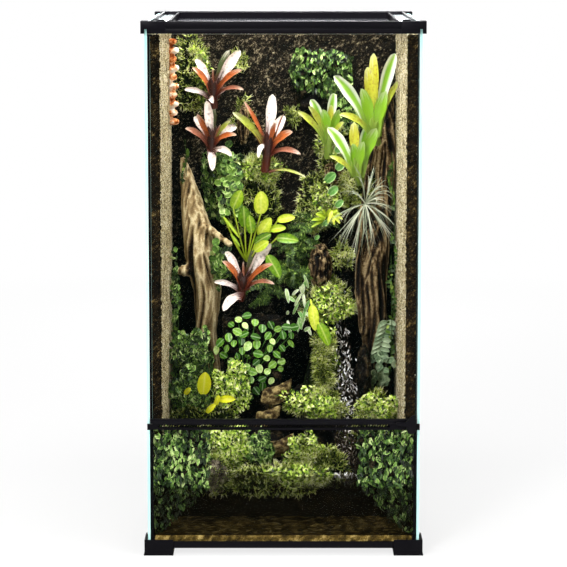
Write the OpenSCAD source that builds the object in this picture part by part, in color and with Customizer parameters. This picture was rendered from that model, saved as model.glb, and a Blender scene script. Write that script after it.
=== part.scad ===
// Tall planted glass terrarium with a side-hung door, a turning latch, a lift-out screen lid,
// sliding lid locks and rear cable ports. Millimetres, +Z up. The origin is the middle of the
// floor area that it stands on, the front faces -Y, and X runs from left to right.

/* [Enclosure] */
// Outside width and depth of the glass tank
tank = 450; // [446:1:454]
// Thickness of every glass pane
glass_t = 4; // [4:0.5:5]
// Outside width and depth of the plastic frames
frame_w = 462; // [460:1:464]
// Height of the top frame's upper edge
frame_top = 884.7; // [880:0.1:890]

/* [Base] */
// Width of each square foot
foot_w = 48; // [44:1:52]
// Height of each foot
foot_h = 26.4; // [25:0.1:28]
// Underside of the base rails
rail_low = 12; // [10:0.5:13]
// Upper edge of the base rails
rail_top = 23; // [21:0.5:24]

/* [Front] */
// Lower edge of the fixed ventilation bar
vent_low = 212; // [208:0.5:214]
// Upper edge of the fixed ventilation bar
vent_top = 222; // [221:0.5:222]
// Upper edge of the profile on the door's bottom edge
profile_top = 229.4; // [228:0.1:231]
// Distance between two ventilation slots
slot_pitch = 4.4; // [4:0.2:6]

/* [Top] */
// Height of the top frame
fascia_h = 20.1; // [19:0.1:21]
// Width of a front corner cap
cap_w = 40; // [36:1:42]
// Half the width of the screen lid
lid_x = 190.5; // [188:0.5:191]
// Openings of the screen along each side
screen_gaps = 17; // [10:1:20]

/* [Interior] */
// Thickness of the cork side panels
side_panel_t = 21; // [18:1:24]
// Thickness of the cork background
background_t = 31; // [26:1:34]
// Height of the water's surface
water_top = 111; // [100:1:115]
// Thickness of the sand on the glass floor
sand_t = 13; // [10:1:16]

/* [Hidden] */

$fn = 48;
BLACK = "#26252a";
GLASS = [0.80, 0.96, 0.94, 0.35];
CORK = "#6b5b3c";
MOSS = "#6d8a2c";
LEAF = "#3f6a2c";

// --- Frame and glass ---
half = frame_w / 2;                  // outside face of the frames
glass_out = tank / 2;                // outside face of the panes
glass_in = glass_out - glass_t;      // inside face of the panes
flange_t = 3;                        // the base frame's ledge under the glass
flange_in = 205;
floor_low = rail_low + flange_t;
floor_top = floor_low + glass_t;
base_half = half - 2;                // the base rails lie behind the feet's faces
glass_top = 881.5;
fascia_low = frame_top - fascia_h;   // the door closes under this edge
foot_flare = 1.2;                    // the feet spread a little at the floor
flare_h = 6;

// --- Hinge side of the door ---
pin_r = 1.5;
pin_play = 0.05;                     // running clearance of a pin in its bush
pin_x = -218;
pin_y = -225.5;
bush_r = 2.2;
knuckle_r = 2.8;                     // round the hinge corner turns about the pin
pane_left = pin_x + pin_r + 0.1;     // the door glass starts beside the pins
door_back = -218.5;
door_right = 219.5;
pane_front = -224.5;                 // front face of the door glass and of the lower pane
pane_back = pane_front + glass_t;
door_top = fascia_low - 0.8;
pane_low = profile_top - 5.4;        // the profile holds this much of the door glass
block_h = 3.6;
block_right = -212;
pin_bite = 4;                        // how far the lower pin reaches into the profile
bush_low = 214.5;
bush_h = 11;
seal_in = 215.5;                     // inner edge of the front corners' sealing strips

// --- Ventilation bar ---
vent_front = -228;
vent_back = -220;
vent_window = [-206, 175];           // from the first slot to the last
window_z = [215.4, 220.6];
grille_t = 1.2;
slot_w = 1.9;
slot_lean = 32;                      // degrees that the slots lean to the right
pane_in_bar = 2;                     // how far the lower pane reaches into the bar
door_gap = 0.5;                      // between the bar and the door's profile

// --- Top frame ---
rail_d = 12;                         // depth of the front and rear rails
rail_in = half - rail_d;
rear_low = 848;                      // the rear rail is deeper, for the cable ports
ledge_z = [867, 870];                // the ledges that carry the lid
ledge_in = 212;
cap_d = 36;
cap_x = half - cap_w;                // inner end of a corner cap
strip_z = [875.5, 878.5];            // clear side strips of the top
strip_in = 192;
trim_x = [213.5, 217];               // thin black rails on the strips
trim_top = 884.2;
lid_y = 216.5;
lid_top = 883;
lid_side = 3.5;
lid_end = 10;
wire = 1.2;                          // width of a screen wire
wire_t = 0.38;                       // and its thickness
mesh_z = [871, 871.8];
lock_y = [-212, -204];
lock_top = 886.6;
lock_gap = 0.4;                      // between a lock's finger and the lid

// --- Cable ports in the rear rail ---
port_x = [130, 170];
port_z = [853.5, 864.5];
slider_x = [127, 173];
slider_z = [852.4, 865.6];
slider_t = 2.5;
slider_travel = 44;
guide_gap = 0.3;
guide_t = 2.2;

// --- Latch at the door's lower right corner ---
latch_x = 210.5;
latch_z = 213.6;
housing_r = 7.2;
housing_front = -231.3;
lever_y = [-237.1, -231.6];
shaft_r = 2.5;
cam_r = 5.6;
cam_t = 1.2;

// --- Interior ---
wall_x = glass_in - side_panel_t;    // inner faces of the cork side panels
wall_y = glass_in - background_t;    // front face of the background
panel_front = -195;
panel_top = 846;
side_top = 864;                      // the side panels reach up to the front rail
sand_top = floor_top + sand_t;
pool_back = -90;                     // the mound's front wall stands here
mound_top = 96;
fit = 0.2;                           // planting keeps this far off the panels

// A box between two corners
module span(x, y, z) {
    translate([x[0], y[0], z[0]]) cube([x[1] - x[0], y[1] - y[0], z[1] - z[0]]);
}

// A cylinder of radius r along Z, standing on z[0]
module post(r, x, y, z) {
    translate([x, y, z[0]]) cylinder(r = r, h = z[1] - z[0]);
}

// A cylinder of radius r along Y, from y[0] to y[1]
module bar_y(r, x, y, z) {
    translate([x, y[0], z]) rotate([-90, 0, 0]) cylinder(r = r, h = y[1] - y[0]);
}

// A box as wide to the left as to the right
module wide(x, y, z) span([-x, x], y, z);

// --- Base ---
module base_frame() {
    color(BLACK) difference() {
        wide(base_half, [-base_half, base_half], [rail_low, rail_top]);
        wide(glass_out, [-glass_out, glass_out], [floor_low, rail_top + 1]);
        wide(flange_in, [-flange_in, flange_in], [rail_low - 1, floor_low + 1]);
    }
}

// One foot, for the corner at +X and +Y: it wraps the base frame's corner
module foot() {
    inner = half - foot_w;
    color(BLACK) difference() {
        union() {
            span([inner, half], [inner, half], [0, foot_h]);
            hull() {
                span([inner, half + foot_flare], [inner, half + foot_flare], [0, 1]);
                span([inner, half], [inner, half], [flare_h, flare_h + 1]);
            }
        }
        wide(base_half, [-base_half, base_half], [rail_low, foot_h + 1]);
    }
}

module foot_rear_right() foot();
module foot_rear_left() mirror([1, 0, 0]) foot();
module foot_front_right() mirror([0, 1, 0]) foot();
module foot_front_left() rotate([0, 0, 180]) foot();

// --- Glass ---
module floor_glass() color(GLASS)
    wide(glass_in, [-glass_out, glass_in], [floor_low, floor_top]);

module side_glass() color(GLASS)
    span([glass_in, glass_out], [-glass_out, glass_out], [floor_low, glass_top]);

module right_glass() side_glass();
module left_glass() mirror([1, 0, 0]) side_glass();

module rear_glass() color(GLASS)
    wide(glass_in, [glass_in, glass_out], [floor_low, panel_top]);

module lower_front_glass() color(GLASS)
    wide(glass_in, [pane_front, pane_back], [floor_top, vent_low + pane_in_bar]);

// Black sealing strip in a front corner: wide behind the lower pane, slim behind the door
module front_seal() {
    seal_d = 3;
    slim_in = 217.6;
    door_seal_y = -217.6;
    color(BLACK) {
        span([seal_in, glass_in], [pane_back, pane_back + seal_d], [floor_top, vent_low]);
        span([seal_in, glass_in], [door_seal_y, door_seal_y + seal_d], [vent_low, vent_top]);
        span([slim_in, glass_in], [door_seal_y, door_seal_y + seal_d], [vent_low, door_top]);
    }
}

module front_seal_right() front_seal();
module front_seal_left() mirror([1, 0, 0]) front_seal();

// --- Ventilation ---
module vent_bar() {
    tab_back = -glass_out;
    color(BLACK) difference() {
        union() {
            wide(glass_in, [vent_front, vent_back], [vent_low, vent_top]);
            wide(glass_out, [vent_front, tab_back], [vent_low, vent_top]);
        }
        span([vent_window[0] - 1, vent_window[1] + 1], [vent_front - 1, vent_back + 1], window_z);
        wide(glass_in, [pane_front, pane_back], [vent_low - 1, vent_low + pane_in_bar]);
        post(bush_r, pin_x, pin_y, [bush_low, vent_top + 1]);
    }
}

module vent_grille() {
    plate_y = [vent_back - 1 - grille_t, vent_back - 1];
    slot_h = window_z[1] - window_z[0] + 2;
    slots = floor((vent_window[1] - vent_window[0] - slot_pitch) / slot_pitch);
    first = vent_window[0] + 0.6 * slot_pitch;
    middle = (window_z[0] + window_z[1]) / 2;
    border = 0.6;
    color(BLACK) difference() {
        span([vent_window[0] - 1, vent_window[1] + 1], plate_y, window_z);
        intersection() {
            span(vent_window, [plate_y[0] - 1, plate_y[1] + 1],
                 [window_z[0] + border, window_z[1] - border]);
            for (i = [0:slots])
                translate([first + slot_pitch * i, plate_y[0], middle])
                    rotate([0, slot_lean, 0])
                        cube([slot_w, 4 * grille_t, 2 * slot_h], center = true);
        }
    }
}

module hinge_bush(z) {
    color("#d9d4c6") difference() {
        post(bush_r, pin_x, pin_y, z);
        post(pin_r + pin_play, pin_x, pin_y, [z[0] - 1, z[1] + 1]);
    }
}

module hinge_bush_lower() hinge_bush([bush_low, vent_top]);
module hinge_bush_upper() hinge_bush([fascia_low, fascia_low + bush_h]);

// --- Top frame ---
module top_rail_front() {
    groove_z = [872.4, 874];
    color(BLACK) difference() {
        union() {
            wide(cap_x, [-half, -rail_in], [fascia_low, frame_top]);
            wide(cap_x, [-rail_in, -ledge_in], ledge_z);
        }
        wide(cap_x + 1, [-half - 1, -half + 1], groove_z);
    }
}

// The two lipped guides that hold a cable slider against the rear rail
module slider_guides() {
    guide_x = [slider_x[0] - slider_travel - 3, slider_x[1] + 3];
    out = half + slider_t + guide_gap + 1.2;
    lip = 0.8;
    for (side = [-1, 1]) {
        edge = side < 0 ? slider_z[0] - guide_gap : slider_z[1] + guide_gap;
        far = edge + side * guide_t;
        span(guide_x, [half, out], [min(edge, far), max(edge, far)]);
        inner = edge - side * (lip + guide_gap);
        span(guide_x, [out - 1.2, out], [min(edge, inner), max(edge, inner)]);
    }
}

module top_rail_rear() {
    color(BLACK) difference() {
        union() {
            wide(cap_x, [rail_in, half], [rear_low, frame_top]);
            wide(cap_x, [ledge_in, rail_in], ledge_z);
            slider_guides();
            mirror([1, 0, 0]) slider_guides();
        }
        for (side = [0, 1]) mirror([side, 0, 0])
            span(port_x, [rail_in - 1, half + 1], port_z);
    }
}

// Corner cap at +X and +Y, from height low up to the frame's top
module corner_cap(low) {
    difference() {
        union() {
            span([cap_x, half], [rail_in, half], [low, frame_top]);
            span([glass_out, half], [half - cap_d, half], [low, frame_top]);
            span([trim_x[1], half], [half - cap_d, half], [glass_top, frame_top]);
        }
        span([glass_in, glass_out], [0, glass_out], [low - 1, glass_top]);
    }
}

// The front caps leave the end of the side glass open for a finger's width
module front_cap() {
    notch_z = [fascia_low - 1, 872];
    difference() {
        mirror([0, 1, 0]) corner_cap(fascia_low);
        span([glass_in - fit, glass_out + fit], [-half - 1, -glass_out], notch_z);
    }
}

module top_cap_front_right() color(BLACK) front_cap();

module top_cap_front_left() color(BLACK) difference() {
    mirror([1, 0, 0]) front_cap();
    post(bush_r, pin_x, pin_y, [fascia_low - 1, fascia_low + bush_h]);
}

module top_cap_rear_right() color(BLACK) corner_cap(rear_low);
module top_cap_rear_left() color(BLACK) mirror([1, 0, 0]) corner_cap(rear_low);

module top_strip() color([0.93, 0.96, 0.97, 0.4])
    span([strip_in, glass_in], [-rail_in, rail_in], strip_z);

module top_strip_right() top_strip();
module top_strip_left() mirror([1, 0, 0]) top_strip();

module top_trim() color(BLACK)
    span(trim_x, [-rail_in, rail_in], [strip_z[1], trim_top]);

module top_trim_right() top_trim();
module top_trim_left() mirror([1, 0, 0]) top_trim();

// --- Screen lid ---
module lid_frame() {
    color(BLACK) difference() {
        wide(lid_x, [-lid_y, lid_y], [ledge_z[1], lid_top]);
        wide(lid_x - lid_side, [lid_end - lid_y, lid_y - lid_end], [ledge_z[1] - 1, lid_top + 1]);
    }
}

// Wires from front to rear in a lower layer, and wires from side to side in an upper one
module lid_mesh() {
    x = lid_x - lid_side;
    y = lid_y - lid_end;
    w = wire / 2;
    lower = [mesh_z[0], mesh_z[0] + wire_t];
    upper = [mesh_z[1] - wire_t, mesh_z[1]];
    color("#8f8e96") for (i = [1:screen_gaps - 1]) {
        share = 2 * i / screen_gaps - 1;
        span([share * x - w, share * x + w], [-y, y], lower);
        span([-x, x], [share * y - w, share * y + w], upper);
    }
}

module lid_lock() {
    finger_x = [strip_in + 0.5, 206];
    color(BLACK) {
        span([200, finger_x[1]], lock_y, [strip_z[1], lock_top]);
        span(finger_x, lock_y, [lid_top + lock_gap, lock_top]);
    }
}

module lid_lock_right() lid_lock();
module lid_lock_left() mirror([1, 0, 0]) lid_lock();

// A cable port's slider with three grip ribs
module cable_slider() {
    middle = (slider_x[0] + slider_x[1]) / 2;
    rib_z = [port_z[0] + 1.5, port_z[1] - 1.5];
    color(BLACK) {
        span(slider_x, [half, half + slider_t], slider_z);
        for (x = [middle - 4, middle, middle + 4])
            span([x - 1, x + 1], [half + slider_t, half + 2 * slider_t], rib_z);
    }
}

module cable_slider_right() cable_slider();
module cable_slider_left() mirror([1, 0, 0]) cable_slider();

// --- Door ---
module door_glass() color(GLASS)
    span([pane_left, door_right], [pane_front, pane_back], [pane_low, door_top]);

// The hinge corner is round about the pin, so that it turns clear of the side glass
module hinge_corner(z, right) {
    span([pin_x - knuckle_r, right], [pin_y, door_back], z);
    span([pin_x, right], [pin_y - knuckle_r, pin_y], z);
    post(knuckle_r, pin_x, pin_y, z);
}

module door_profile() {
    low = vent_top + door_gap;
    color(BLACK) difference() {
        hinge_corner([low, profile_top], door_right);
        span([pane_left, door_right + 1], [pane_front, pane_back], [pane_low, profile_top + 1]);
        post(pin_r, pin_x, pin_y, [low - 1, low + pin_bite]);
    }
}

module door_hinge_block() {
    z = [door_top - block_h, door_top];
    color(BLACK) difference() {
        hinge_corner(z, block_right);
        span([pane_left, block_right + 1], [pane_front, pane_back], [z[0] - 1, z[1] + 1]);
        post(pin_r, pin_x, pin_y, [z[0] - 1, z[1] + 1]);
    }
}

module hinge_pin_upper() color("silver")
    post(pin_r, pin_x, pin_y, [door_top - block_h, fascia_low + bush_h - 1]);

module hinge_pin_lower() color("silver")
    post(pin_r, pin_x, pin_y, [bush_low + 0.5, vent_top + door_gap + pin_bite]);

// --- Latch ---
module latch_housing() {
    back = pin_y - knuckle_r;
    sides = [latch_x - housing_r, latch_x + housing_r];
    color(BLACK) difference() {
        union() {
            bar_y(housing_r, latch_x, [housing_front, back], latch_z);
            span(sides, [housing_front, back], [latch_z, profile_top]);
        }
        bar_y(shaft_r + pin_play, latch_x, [housing_front - 1, back + 1], latch_z);
        bar_y(cam_r + 0.4, latch_x, [back - cam_t - 0.2, back + 1], latch_z);
    }
}

// Outline of the lever about its pivot: a round boss, a wedge to the upper right with a hollow
// S-shaped edge, and a thumb blade to the left
module lever_outline() {
    circle(r = 7);
    difference() {
        polygon([[7, 0], [7, 23], [5.4, 24.4], [3, 24], [-2, 20.5], [-5, 16.5], [-8, 13.2],
                 [-12, 11.4], [-17, 11.8], [-24.5, 12.6], [-25, 9.5], [-17, 6.6], [-7, 5], [-7, 0]]);
        translate([-12.4, 17]) circle(r = 5.2);
    }
}

module latch_lever() {
    color("#2b2a31") {
        translate([latch_x, lever_y[1], latch_z]) rotate([90, 0, 0])
            linear_extrude(height = lever_y[1] - lever_y[0]) lever_outline();
        bar_y(shaft_r, latch_x, [lever_y[1], pin_y - knuckle_r - cam_t - 0.1], latch_z);
    }
}

module latch_cam() {
    back = pin_y - knuckle_r - 0.1;
    color("#2b2a31") intersection() {
        bar_y(cam_r, latch_x, [back - cam_t, back], latch_z);
        span([latch_x - 3, latch_x + 3], [back - cam_t, back], [latch_z - 6, latch_z + 6]);
    }
}

// --- Panels, sand and water ---
// The cork's broad hollows, up to this deep, lie where nothing grows on the wall
hollow_depth = 5;

// A shallow hollow in the front face: its rim is askew and its deepest point off its middle
module wall_hollow(x, z) {
    skew = 7;
    deep = [x[0] + 0.45 * (x[1] - x[0]), wall_y + hollow_depth, z[0] + 0.6 * (z[1] - z[0])];
    rim = [[x[0], z[0]], [x[1], z[0] + skew], [x[1] - skew, z[1]], [x[0] + skew, z[1] - skew]];
    polyhedron(points = concat([for (p = rim) [p[0], wall_y - 1, p[1]]], [deep]),
        faces = [[0, 2, 1], [0, 3, 2], [0, 1, 4], [1, 2, 4], [2, 3, 4], [3, 0, 4]]);
}

module background_panel() color("#4a4132") difference() {
    wide(glass_in, [wall_y, glass_in], [floor_top, panel_top]);
    for (x = [-84, -40], z = [650, 696, 742, 788]) wall_hollow([x, x + 42], [z, z + 44]);
    for (x = [8, 46, 84, 122, 160]) wall_hollow([x, x + 36], [816, 842]);
    for (x = [118, 158], z = [660, 706, 752]) wall_hollow([x, x + 38], [z, z + 44]);
    for (x = [-34, 8], z = [418, 460]) wall_hollow([x, x + 38], [z, z + 38]);
}

module side_panel() color(CORK)
    span([wall_x, glass_in], [panel_front, wall_y], [floor_top, side_top]);

module side_panel_right() side_panel();
module side_panel_left() mirror([1, 0, 0]) side_panel();

// The pool between two heights: it widens in front of the side panels
module pool(z) {
    wide(seal_in, [pane_back, panel_front], z);
    wide(wall_x, [panel_front, pool_back], z);
}

module sand_bed() color("#6b5a33") pool([floor_top, sand_top]);

// --- Shapes for the planting ---
// A rounded lump of radius r
module lump(at, r) translate(at) sphere(r = r, $fn = 10);

// A limb through points given as [x, y, z, radius]
module limb(points) {
    for (i = [0:len(points) - 2]) hull() {
        lump([points[i][0], points[i][1], points[i][2]], points[i][3]);
        lump([points[i + 1][0], points[i + 1][1], points[i + 1][2]], points[i + 1][3]);
    }
}

// The space inside the panels that planting may fill
module habitat() {
    span([fit - wall_x, wall_x - fit], [panel_front, wall_y], [floor_top, panel_top]);
}

// Middle line of a leaf: it starts at the angle lift and has turned to droop at its tip
function spine(length, lift, droop, n) = [
    for (i = 0, x = 0, z = 0; i <= n;
         x = x + length / n * cos(lift + (droop - lift) * i / n),
         z = z + length / n * sin(lift + (droop - lift) * i / n), i = i + 1) [x, z]
];

// A leaf along +X as a loft of four-cornered rings: belly is where it is widest, from 0 to 1
module leaf(length, width, thick, lift, droop, belly = 0.35, n = 4) {
    line = spine(length, lift, droop, n);
    function half_width(t) = width / 2 *
        (t < belly ? 0.45 + 0.55 * sin(90 * t / belly) : cos(90 * (t - belly) / (1 - belly)));
    fold = 0.18 * width;
    rings = [for (i = [0:n - 1]) let (w = half_width(i / n), x = line[i][0], z = line[i][1])
        each [[x, w, z + fold], [x, 0, z + thick], [x, -w, z + fold], [x, 0, z - thick]]];
    tip = [[line[n][0], 0, line[n][1]]];
    walls = [for (i = [0:n - 2], k = [0:3]) let (a = 4 * i + k, b = 4 * i + (k + 1) % 4)
        each [[a, b + 4, b], [a, a + 4, b + 4]]];
    point = [for (k = [0:3]) [4 * n - 4 + (k + 1) % 4, 4 * n - 4 + k, 4 * n]];
    polyhedron(points = concat(rings, tip), faces = concat([[0, 1, 2], [0, 2, 3]], walls, point));
}

// A rosette of strap leaves on a short stem, turned to face where it grows
module rosette(at, lean, turn, length, leaves, root) {
    hull() {
        lump(at, 9);
        lump(root, 8);
    }
    translate(at) rotate([lean, 0, turn]) {
        hull() {
            cylinder(r = 7, h = 2, $fn = 10);
            translate([0, 0, 24]) cylinder(r = 12, h = 2, $fn = 10);
        }
        hull() {
            cylinder(r = 7, h = 2, $fn = 10);
            translate([0, 0, -9]) cylinder(r = 5, h = 2, $fn = 10);
        }
        for (i = [0:leaves - 1]) {
            outer = i / (leaves - 1);
            rotate([0, 0, 137.5 * i]) translate([4, 0, 4 + 8 * (1 - outer)])
                leaf(length * (0.72 + 0.28 * outer), 21, 2, 78 - 36 * outer, 44 - 84 * outer);
        }
    }
}

// A patch of small round leaves on a mat that fills a box
module leaf_mat(x, y, z, size, seed) {
    inset = 0.35 * size;
    columns = max(2, round((x[1] - x[0]) / size));
    rows = max(2, round((z[1] - z[0]) / size));
    tilt = rands(-35, 35, 2 * columns * rows, seed);
    hull() {
        span([x[0] + inset, x[1] - inset], [y[0] + size * 0.6, y[1]], [z[0] + inset, z[1] - inset]);
        span(x, [y[1] - 1, y[1]], z);
    }
    for (i = [0:columns - 1], j = [0:rows - 1]) {
        k = i * rows + j;
        translate([x[0] + (x[1] - x[0]) * (i + 0.5) / columns + tilt[k] * 0.08,
                   y[0] + size * 0.5, z[0] + (z[1] - z[0]) * (j + 0.5) / rows])
            rotate([78 + tilt[k], tilt[k + columns * rows], 0])
                cylinder(r1 = size * 0.34, r2 = size * 0.58, h = size * 0.55, center = true, $fn = 5);
    }
}

// --- Hardscape ---
module mound_shape() {
    intersection() {
        union() {
            span([fit - wall_x, wall_x - fit], [pool_back, wall_y], [floor_top, mound_top]);
            hull() { lump([-150, 150, 190], 48); lump([-60, 150, 270], 40); }
            hull() { lump([-150, 100, 110], 60); lump([-40, 110, 190], 52); }
            hull() { lump([-60, 150, 270], 40); lump([-50, 95, 210], 52); }
            hull() { lump([-40, 60, 130], 58); lump([-10, 0, 90], 44); }
            hull() { lump([120, 160, 150], 50); lump([160, 150, 220], 42); }
            hull() { lump([90, 165, 300], 30); lump([70, 140, 200], 42); }
            hull() { lump([40, 130, 180], 44); lump([130, 70, 120], 46); }
            hull() { lump([150, 30, 90], 52); lump([60, 20, 80], 44); }
        }
        habitat();
        span([-wall_x, wall_x], [pool_back, wall_y], [floor_top, panel_top]);
    }
}

module driftwood_left_shape() {
    limb([[-180, 168, 622, 6], [-168, 156, 566, 18], [-156, 145, 508, 26], [-148, 132, 448, 29],
          [-136, 122, 390, 26], [-138, 112, 320, 20], [-130, 100, 235, 20]]);
    limb([[-140, 128, 505, 9], [-96, 96, 478, 6]]);
    limb([[-150, 130, 430, 15], [-182, 116, 427, 10]]);
}

module driftwood_right_shape() {
    limb([[188, 170, 742, 10], [180, 160, 690, 18], [182, 150, 640, 22], [182, 142, 583, 20],
          [172, 134, 520, 20], [164, 124, 460, 25], [158, 116, 400, 27], [162, 110, 330, 24],
          [164, 110, 250, 22]]);
    limb([[166, 124, 662, 7], [147, 112, 591, 5], [135, 104, 505, 6], [133, 98, 390, 7],
          [142, 92, 320, 8]]);
}

// A curved shell of bark: its rim turns about a bulged middle and ends in a tip at the right.
// A stub behind it runs back to the root point in the mound
module bark_shell(at, turn, width, height, root) {
    plate = 5;
    rim = [[-0.5, 0.1], [-0.42, 0.62], [0.05, 0.72], [0.58, 1], [0.5, 0.45], [0.2, 0.05],
           [-0.15, -0.05]];
    n = len(rim);
    front = [for (r = rim) [r[0] * width, 0.3 * abs(r[0]) * width, r[1] * height]];
    middle = [0.05 * width, -0.12 * width, 0.42 * height];
    back = [for (p = front) p + [0, plate, 0]];
    translate(at) rotate([-12, 0, turn])
        polyhedron(points = concat(front, [middle], back, [middle + [0, plate, 0]]),
            faces = concat([for (i = [0:n - 1]) [i, (i + 1) % n, n]],
                [for (i = [0:n - 1]) [n + 1 + (i + 1) % n, n + 1 + i, 2 * n + 1]],
                [for (i = [0:n - 1]) each [[(i + 1) % n, i, n + 1 + i],
                                           [(i + 1) % n, n + 1 + i, n + 1 + (i + 1) % n]]]));
    limb([[at[0], at[1] + 4, at[2] + 0.4 * height, 5], [root[0], root[1], root[2], 7]]);
}

module bark_shape() {
    bark_shell([-12, 0, 208], 10, 54, 46, [-30, 60, 165]);
    bark_shell([-30, -26, 176], -6, 44, 38, [-30, 30, 130]);
    bark_shell([-8, -52, 126], 8, 50, 42, [-10, 0, 100]);
    bark_shell([-20, -78, 88], -4, 40, 26, [-10, -20, 80]);
}

// Water that runs over the mound, as thin pads from [x, y, z, half width]
module trickle_shape() {
    course = [[96, 148, 392, 9], [101, 128, 345, 11], [107, 104, 285, 12], [112, 84, 232, 14],
              [114, 50, 188, 16], [112, 12, 152, 18], [108, -30, 128, 20], [106, -66, 114, 22]];
    film = 3;
    for (i = [0:len(course) - 2]) hull() for (p = [course[i], course[i + 1]])
        span([p[0] - p[3], p[0] + p[3]], [p[1] - film, p[1] + film], [p[2] - film, p[2] + film]);
}

module hardscape() {
    mound_shape();
    driftwood_left_shape();
    driftwood_right_shape();
    bark_shape();
}

module planting_mound() color("#2e281d") difference() {
    mound_shape();
    driftwood_left_shape();
    driftwood_right_shape();
}

module driftwood_left() color("#7a6a50") intersection() {
    driftwood_left_shape();
    habitat();
}

module driftwood_right() color("#6a5a42") intersection() {
    driftwood_right_shape();
    habitat();
}

module bark_shells() color("#a08356") difference() {
    bark_shape();
    mound_shape();
    driftwood_left_shape();
}

module water_trickle() color([0.85, 0.92, 0.95, 0.6]) difference() {
    trickle_shape();
    hardscape();
}

// --- Planting: each group is cut by what carries it and by the groups before it ---
// Moss cushions as [x, y, z, radius, stretch along x, stretch along z]
function cushions() = [
    [-166, 180, 780, 24, 0, 46], [-60, 180, 560, 30, 20, 40], [58, 178, 545, 26, 8, 30],
    [96, 172, 625, 24, 10, 10], [124, 166, 575, 22, 12, 12], [72, 150, 378, 30, 16, 16],
    [66, 110, 250, 26, 14, 34], [158, 30, 158, 30, 26, 14], [52, -70, 112, 26, 30, 6],
    [-92, -48, 120, 28, 30, 22], [-150, 30, 168, 34, 30, 10], [-17, -100, 98, 20, 52, 6],
    [-120, -98, 106, 20, 8, 14]
];

module moss_shape() {
    intersection() {
        for (c = cushions()) hull() {
            lump([c[0] - c[4], c[1], c[2] - c[5]], c[3] * 0.8);
            lump([c[0] + c[4], c[1], c[2] - c[5] / 2], c[3]);
            lump([c[0], c[1], c[2] + c[5]], c[3] * 0.7);
        }
        habitat();
    }
}

// What the mats on the front glass lack: they run out to a point at the bottom
module mat_corner() for (side = [0, 1]) mirror([side, 0, 0]) rotate([90, 0, 0])
    translate([0, 0, -panel_front - 5]) linear_extrude(height = 34)
        polygon([[100, 0], [100, 112], [124, 112], [206, 38], [206, 0]]);

module fig_shape() {
    front = -214;
    difference() {
        union() {
            leaf_mat([-214, -122], [front, panel_front - fit], [sand_top, 206], 23, 11);
            leaf_mat([118, 214], [front, panel_front - fit], [sand_top, 206], 23, 12);
        }
        mat_corner();
    }
    leaf_mat([20, 118], [160, wall_y], [700, 812], 24, 13);
    leaf_mat([-192, -126], [50, 112], [160, 290], 24, 14);
    leaf_mat([-140, -78], [158, wall_y], [520, 628], 24, 15);
}

module pep_shape() {
    leaf_mat([-112, 4], [32, 92], [214, 356], 28, 16);
}

module fern_shape() {
    crown = [20, 150, 400];
    hull() {
        lump(crown, 14);
        lump([20, wall_y - 8, 400], 12);
    }
    for (i = [0:8])
        translate(crown) rotate([0, 0, -180 + 22 * i])
            leaf(76 + 10 * (i % 3), 26, 1.6, 68 - 9 * (i % 2), -30, 0.45);
}

// Stems rise from one root and each ends in an upright oval leaf: [x, y, z, size]
function broad_leaves() = [
    [-41, 60, 540, 34], [-72, 60, 522, 30], [-28, 44, 508, 28], [0, 66, 508, 30],
    [6, 56, 482, 28], [-44, 36, 476, 28], [-82, 78, 536, 28]
];

module broadleaf_shape() {
    root = [-66, 118, 440];
    hull() {
        lump(root, 12);
        lump([-66, wall_y - 6, 432], 12);
    }
    for (b = broad_leaves()) {
        limb([[root[0], root[1], root[2], 4], [b[0], b[1], b[2], 2]]);
        translate([b[0], b[1], b[2]]) rotate([0, 0, b[0] < -40 ? 160 : 20])
            leaf(b[3] * 1.5, b[3], 1.6, 74, 30, 0.4);
    }
}

module red_shape() {
    rosette([-125, 140, 735], 38, -14, 88, 11, [-125, wall_y - 8, 726]);
    rosette([-131, 136, 640], 42, 8, 88, 11, [-131, wall_y - 8, 632]);
    rosette([-32, 136, 622], 34, 12, 88, 12, [-32, wall_y - 8, 612]);
    rosette([-71, 66, 392], 36, 18, 92, 12, [-110, 108, 372]);
}

module yellow_shape() {
    rosette([156, 112, 700], 30, -8, 98, 11, [176, 146, 690]);
    rosette([126, 104, 612], 36, -20, 80, 10, [160, 140, 604]);
    rosette([76, 132, 640], 30, 8, 88, 10, [76, wall_y - 8, 630]);
}

module air_plant_shape() {
    crown = [140, 74, 548];
    hull() {
        lump(crown, 6);
        lump([164, 124, 548], 6);
    }
    for (i = [0:20])
        translate(crown) rotate([0, 0, 137.5 * i])
            leaf(58 + 9 * (i % 5), 5, 1.4, 62 - 4 * i, -78, 0.2, 5);
}

module fungus_shape() {
    for (i = [0:9]) hull() {
        lump([-190 + 3 * (i % 2), 64, 838 - 15.5 * i], 6);
        lump([-wall_x, 72, 836 - 15.5 * i], 7);
    }
}

// What each group of planting is cut by
module cut_by_moss() {
    hardscape();
    trickle_shape();
    moss_shape();
}

module cut_by_mats() {
    cut_by_moss();
    fig_shape();
    pep_shape();
}

module cut_by_stems() {
    cut_by_mats();
    fern_shape();
    broadleaf_shape();
}

module moss_cushions() color(MOSS) difference() {
    moss_shape();
    hardscape();
    trickle_shape();
    pool([0, sand_top]);
}

module creeping_fig() color(LEAF) difference() {
    fig_shape();
    cut_by_moss();
    pool([0, sand_top]);
    wide(glass_in, [wall_y, glass_in], [0, panel_top]);
    for (side = [0, 1]) mirror([side, 0, 0])
        span([wall_x - fit, glass_in], [panel_front - fit, wall_y], [0, panel_top]);
}

module peperomia() color("#8fae58") difference() {
    pep_shape();
    cut_by_moss();
    fig_shape();
}

module fern() color("#2f5a2c") intersection() {
    habitat();
    difference() {
        fern_shape();
        cut_by_mats();
    }
}

module broadleaf_plant() color("#a9c23f") intersection() {
    habitat();
    difference() {
        broadleaf_shape();
        cut_by_mats();
        fern_shape();
    }
}

module red_bromeliads() color("#c98a70") intersection() {
    habitat();
    difference() {
        red_shape();
        cut_by_stems();
    }
}

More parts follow.
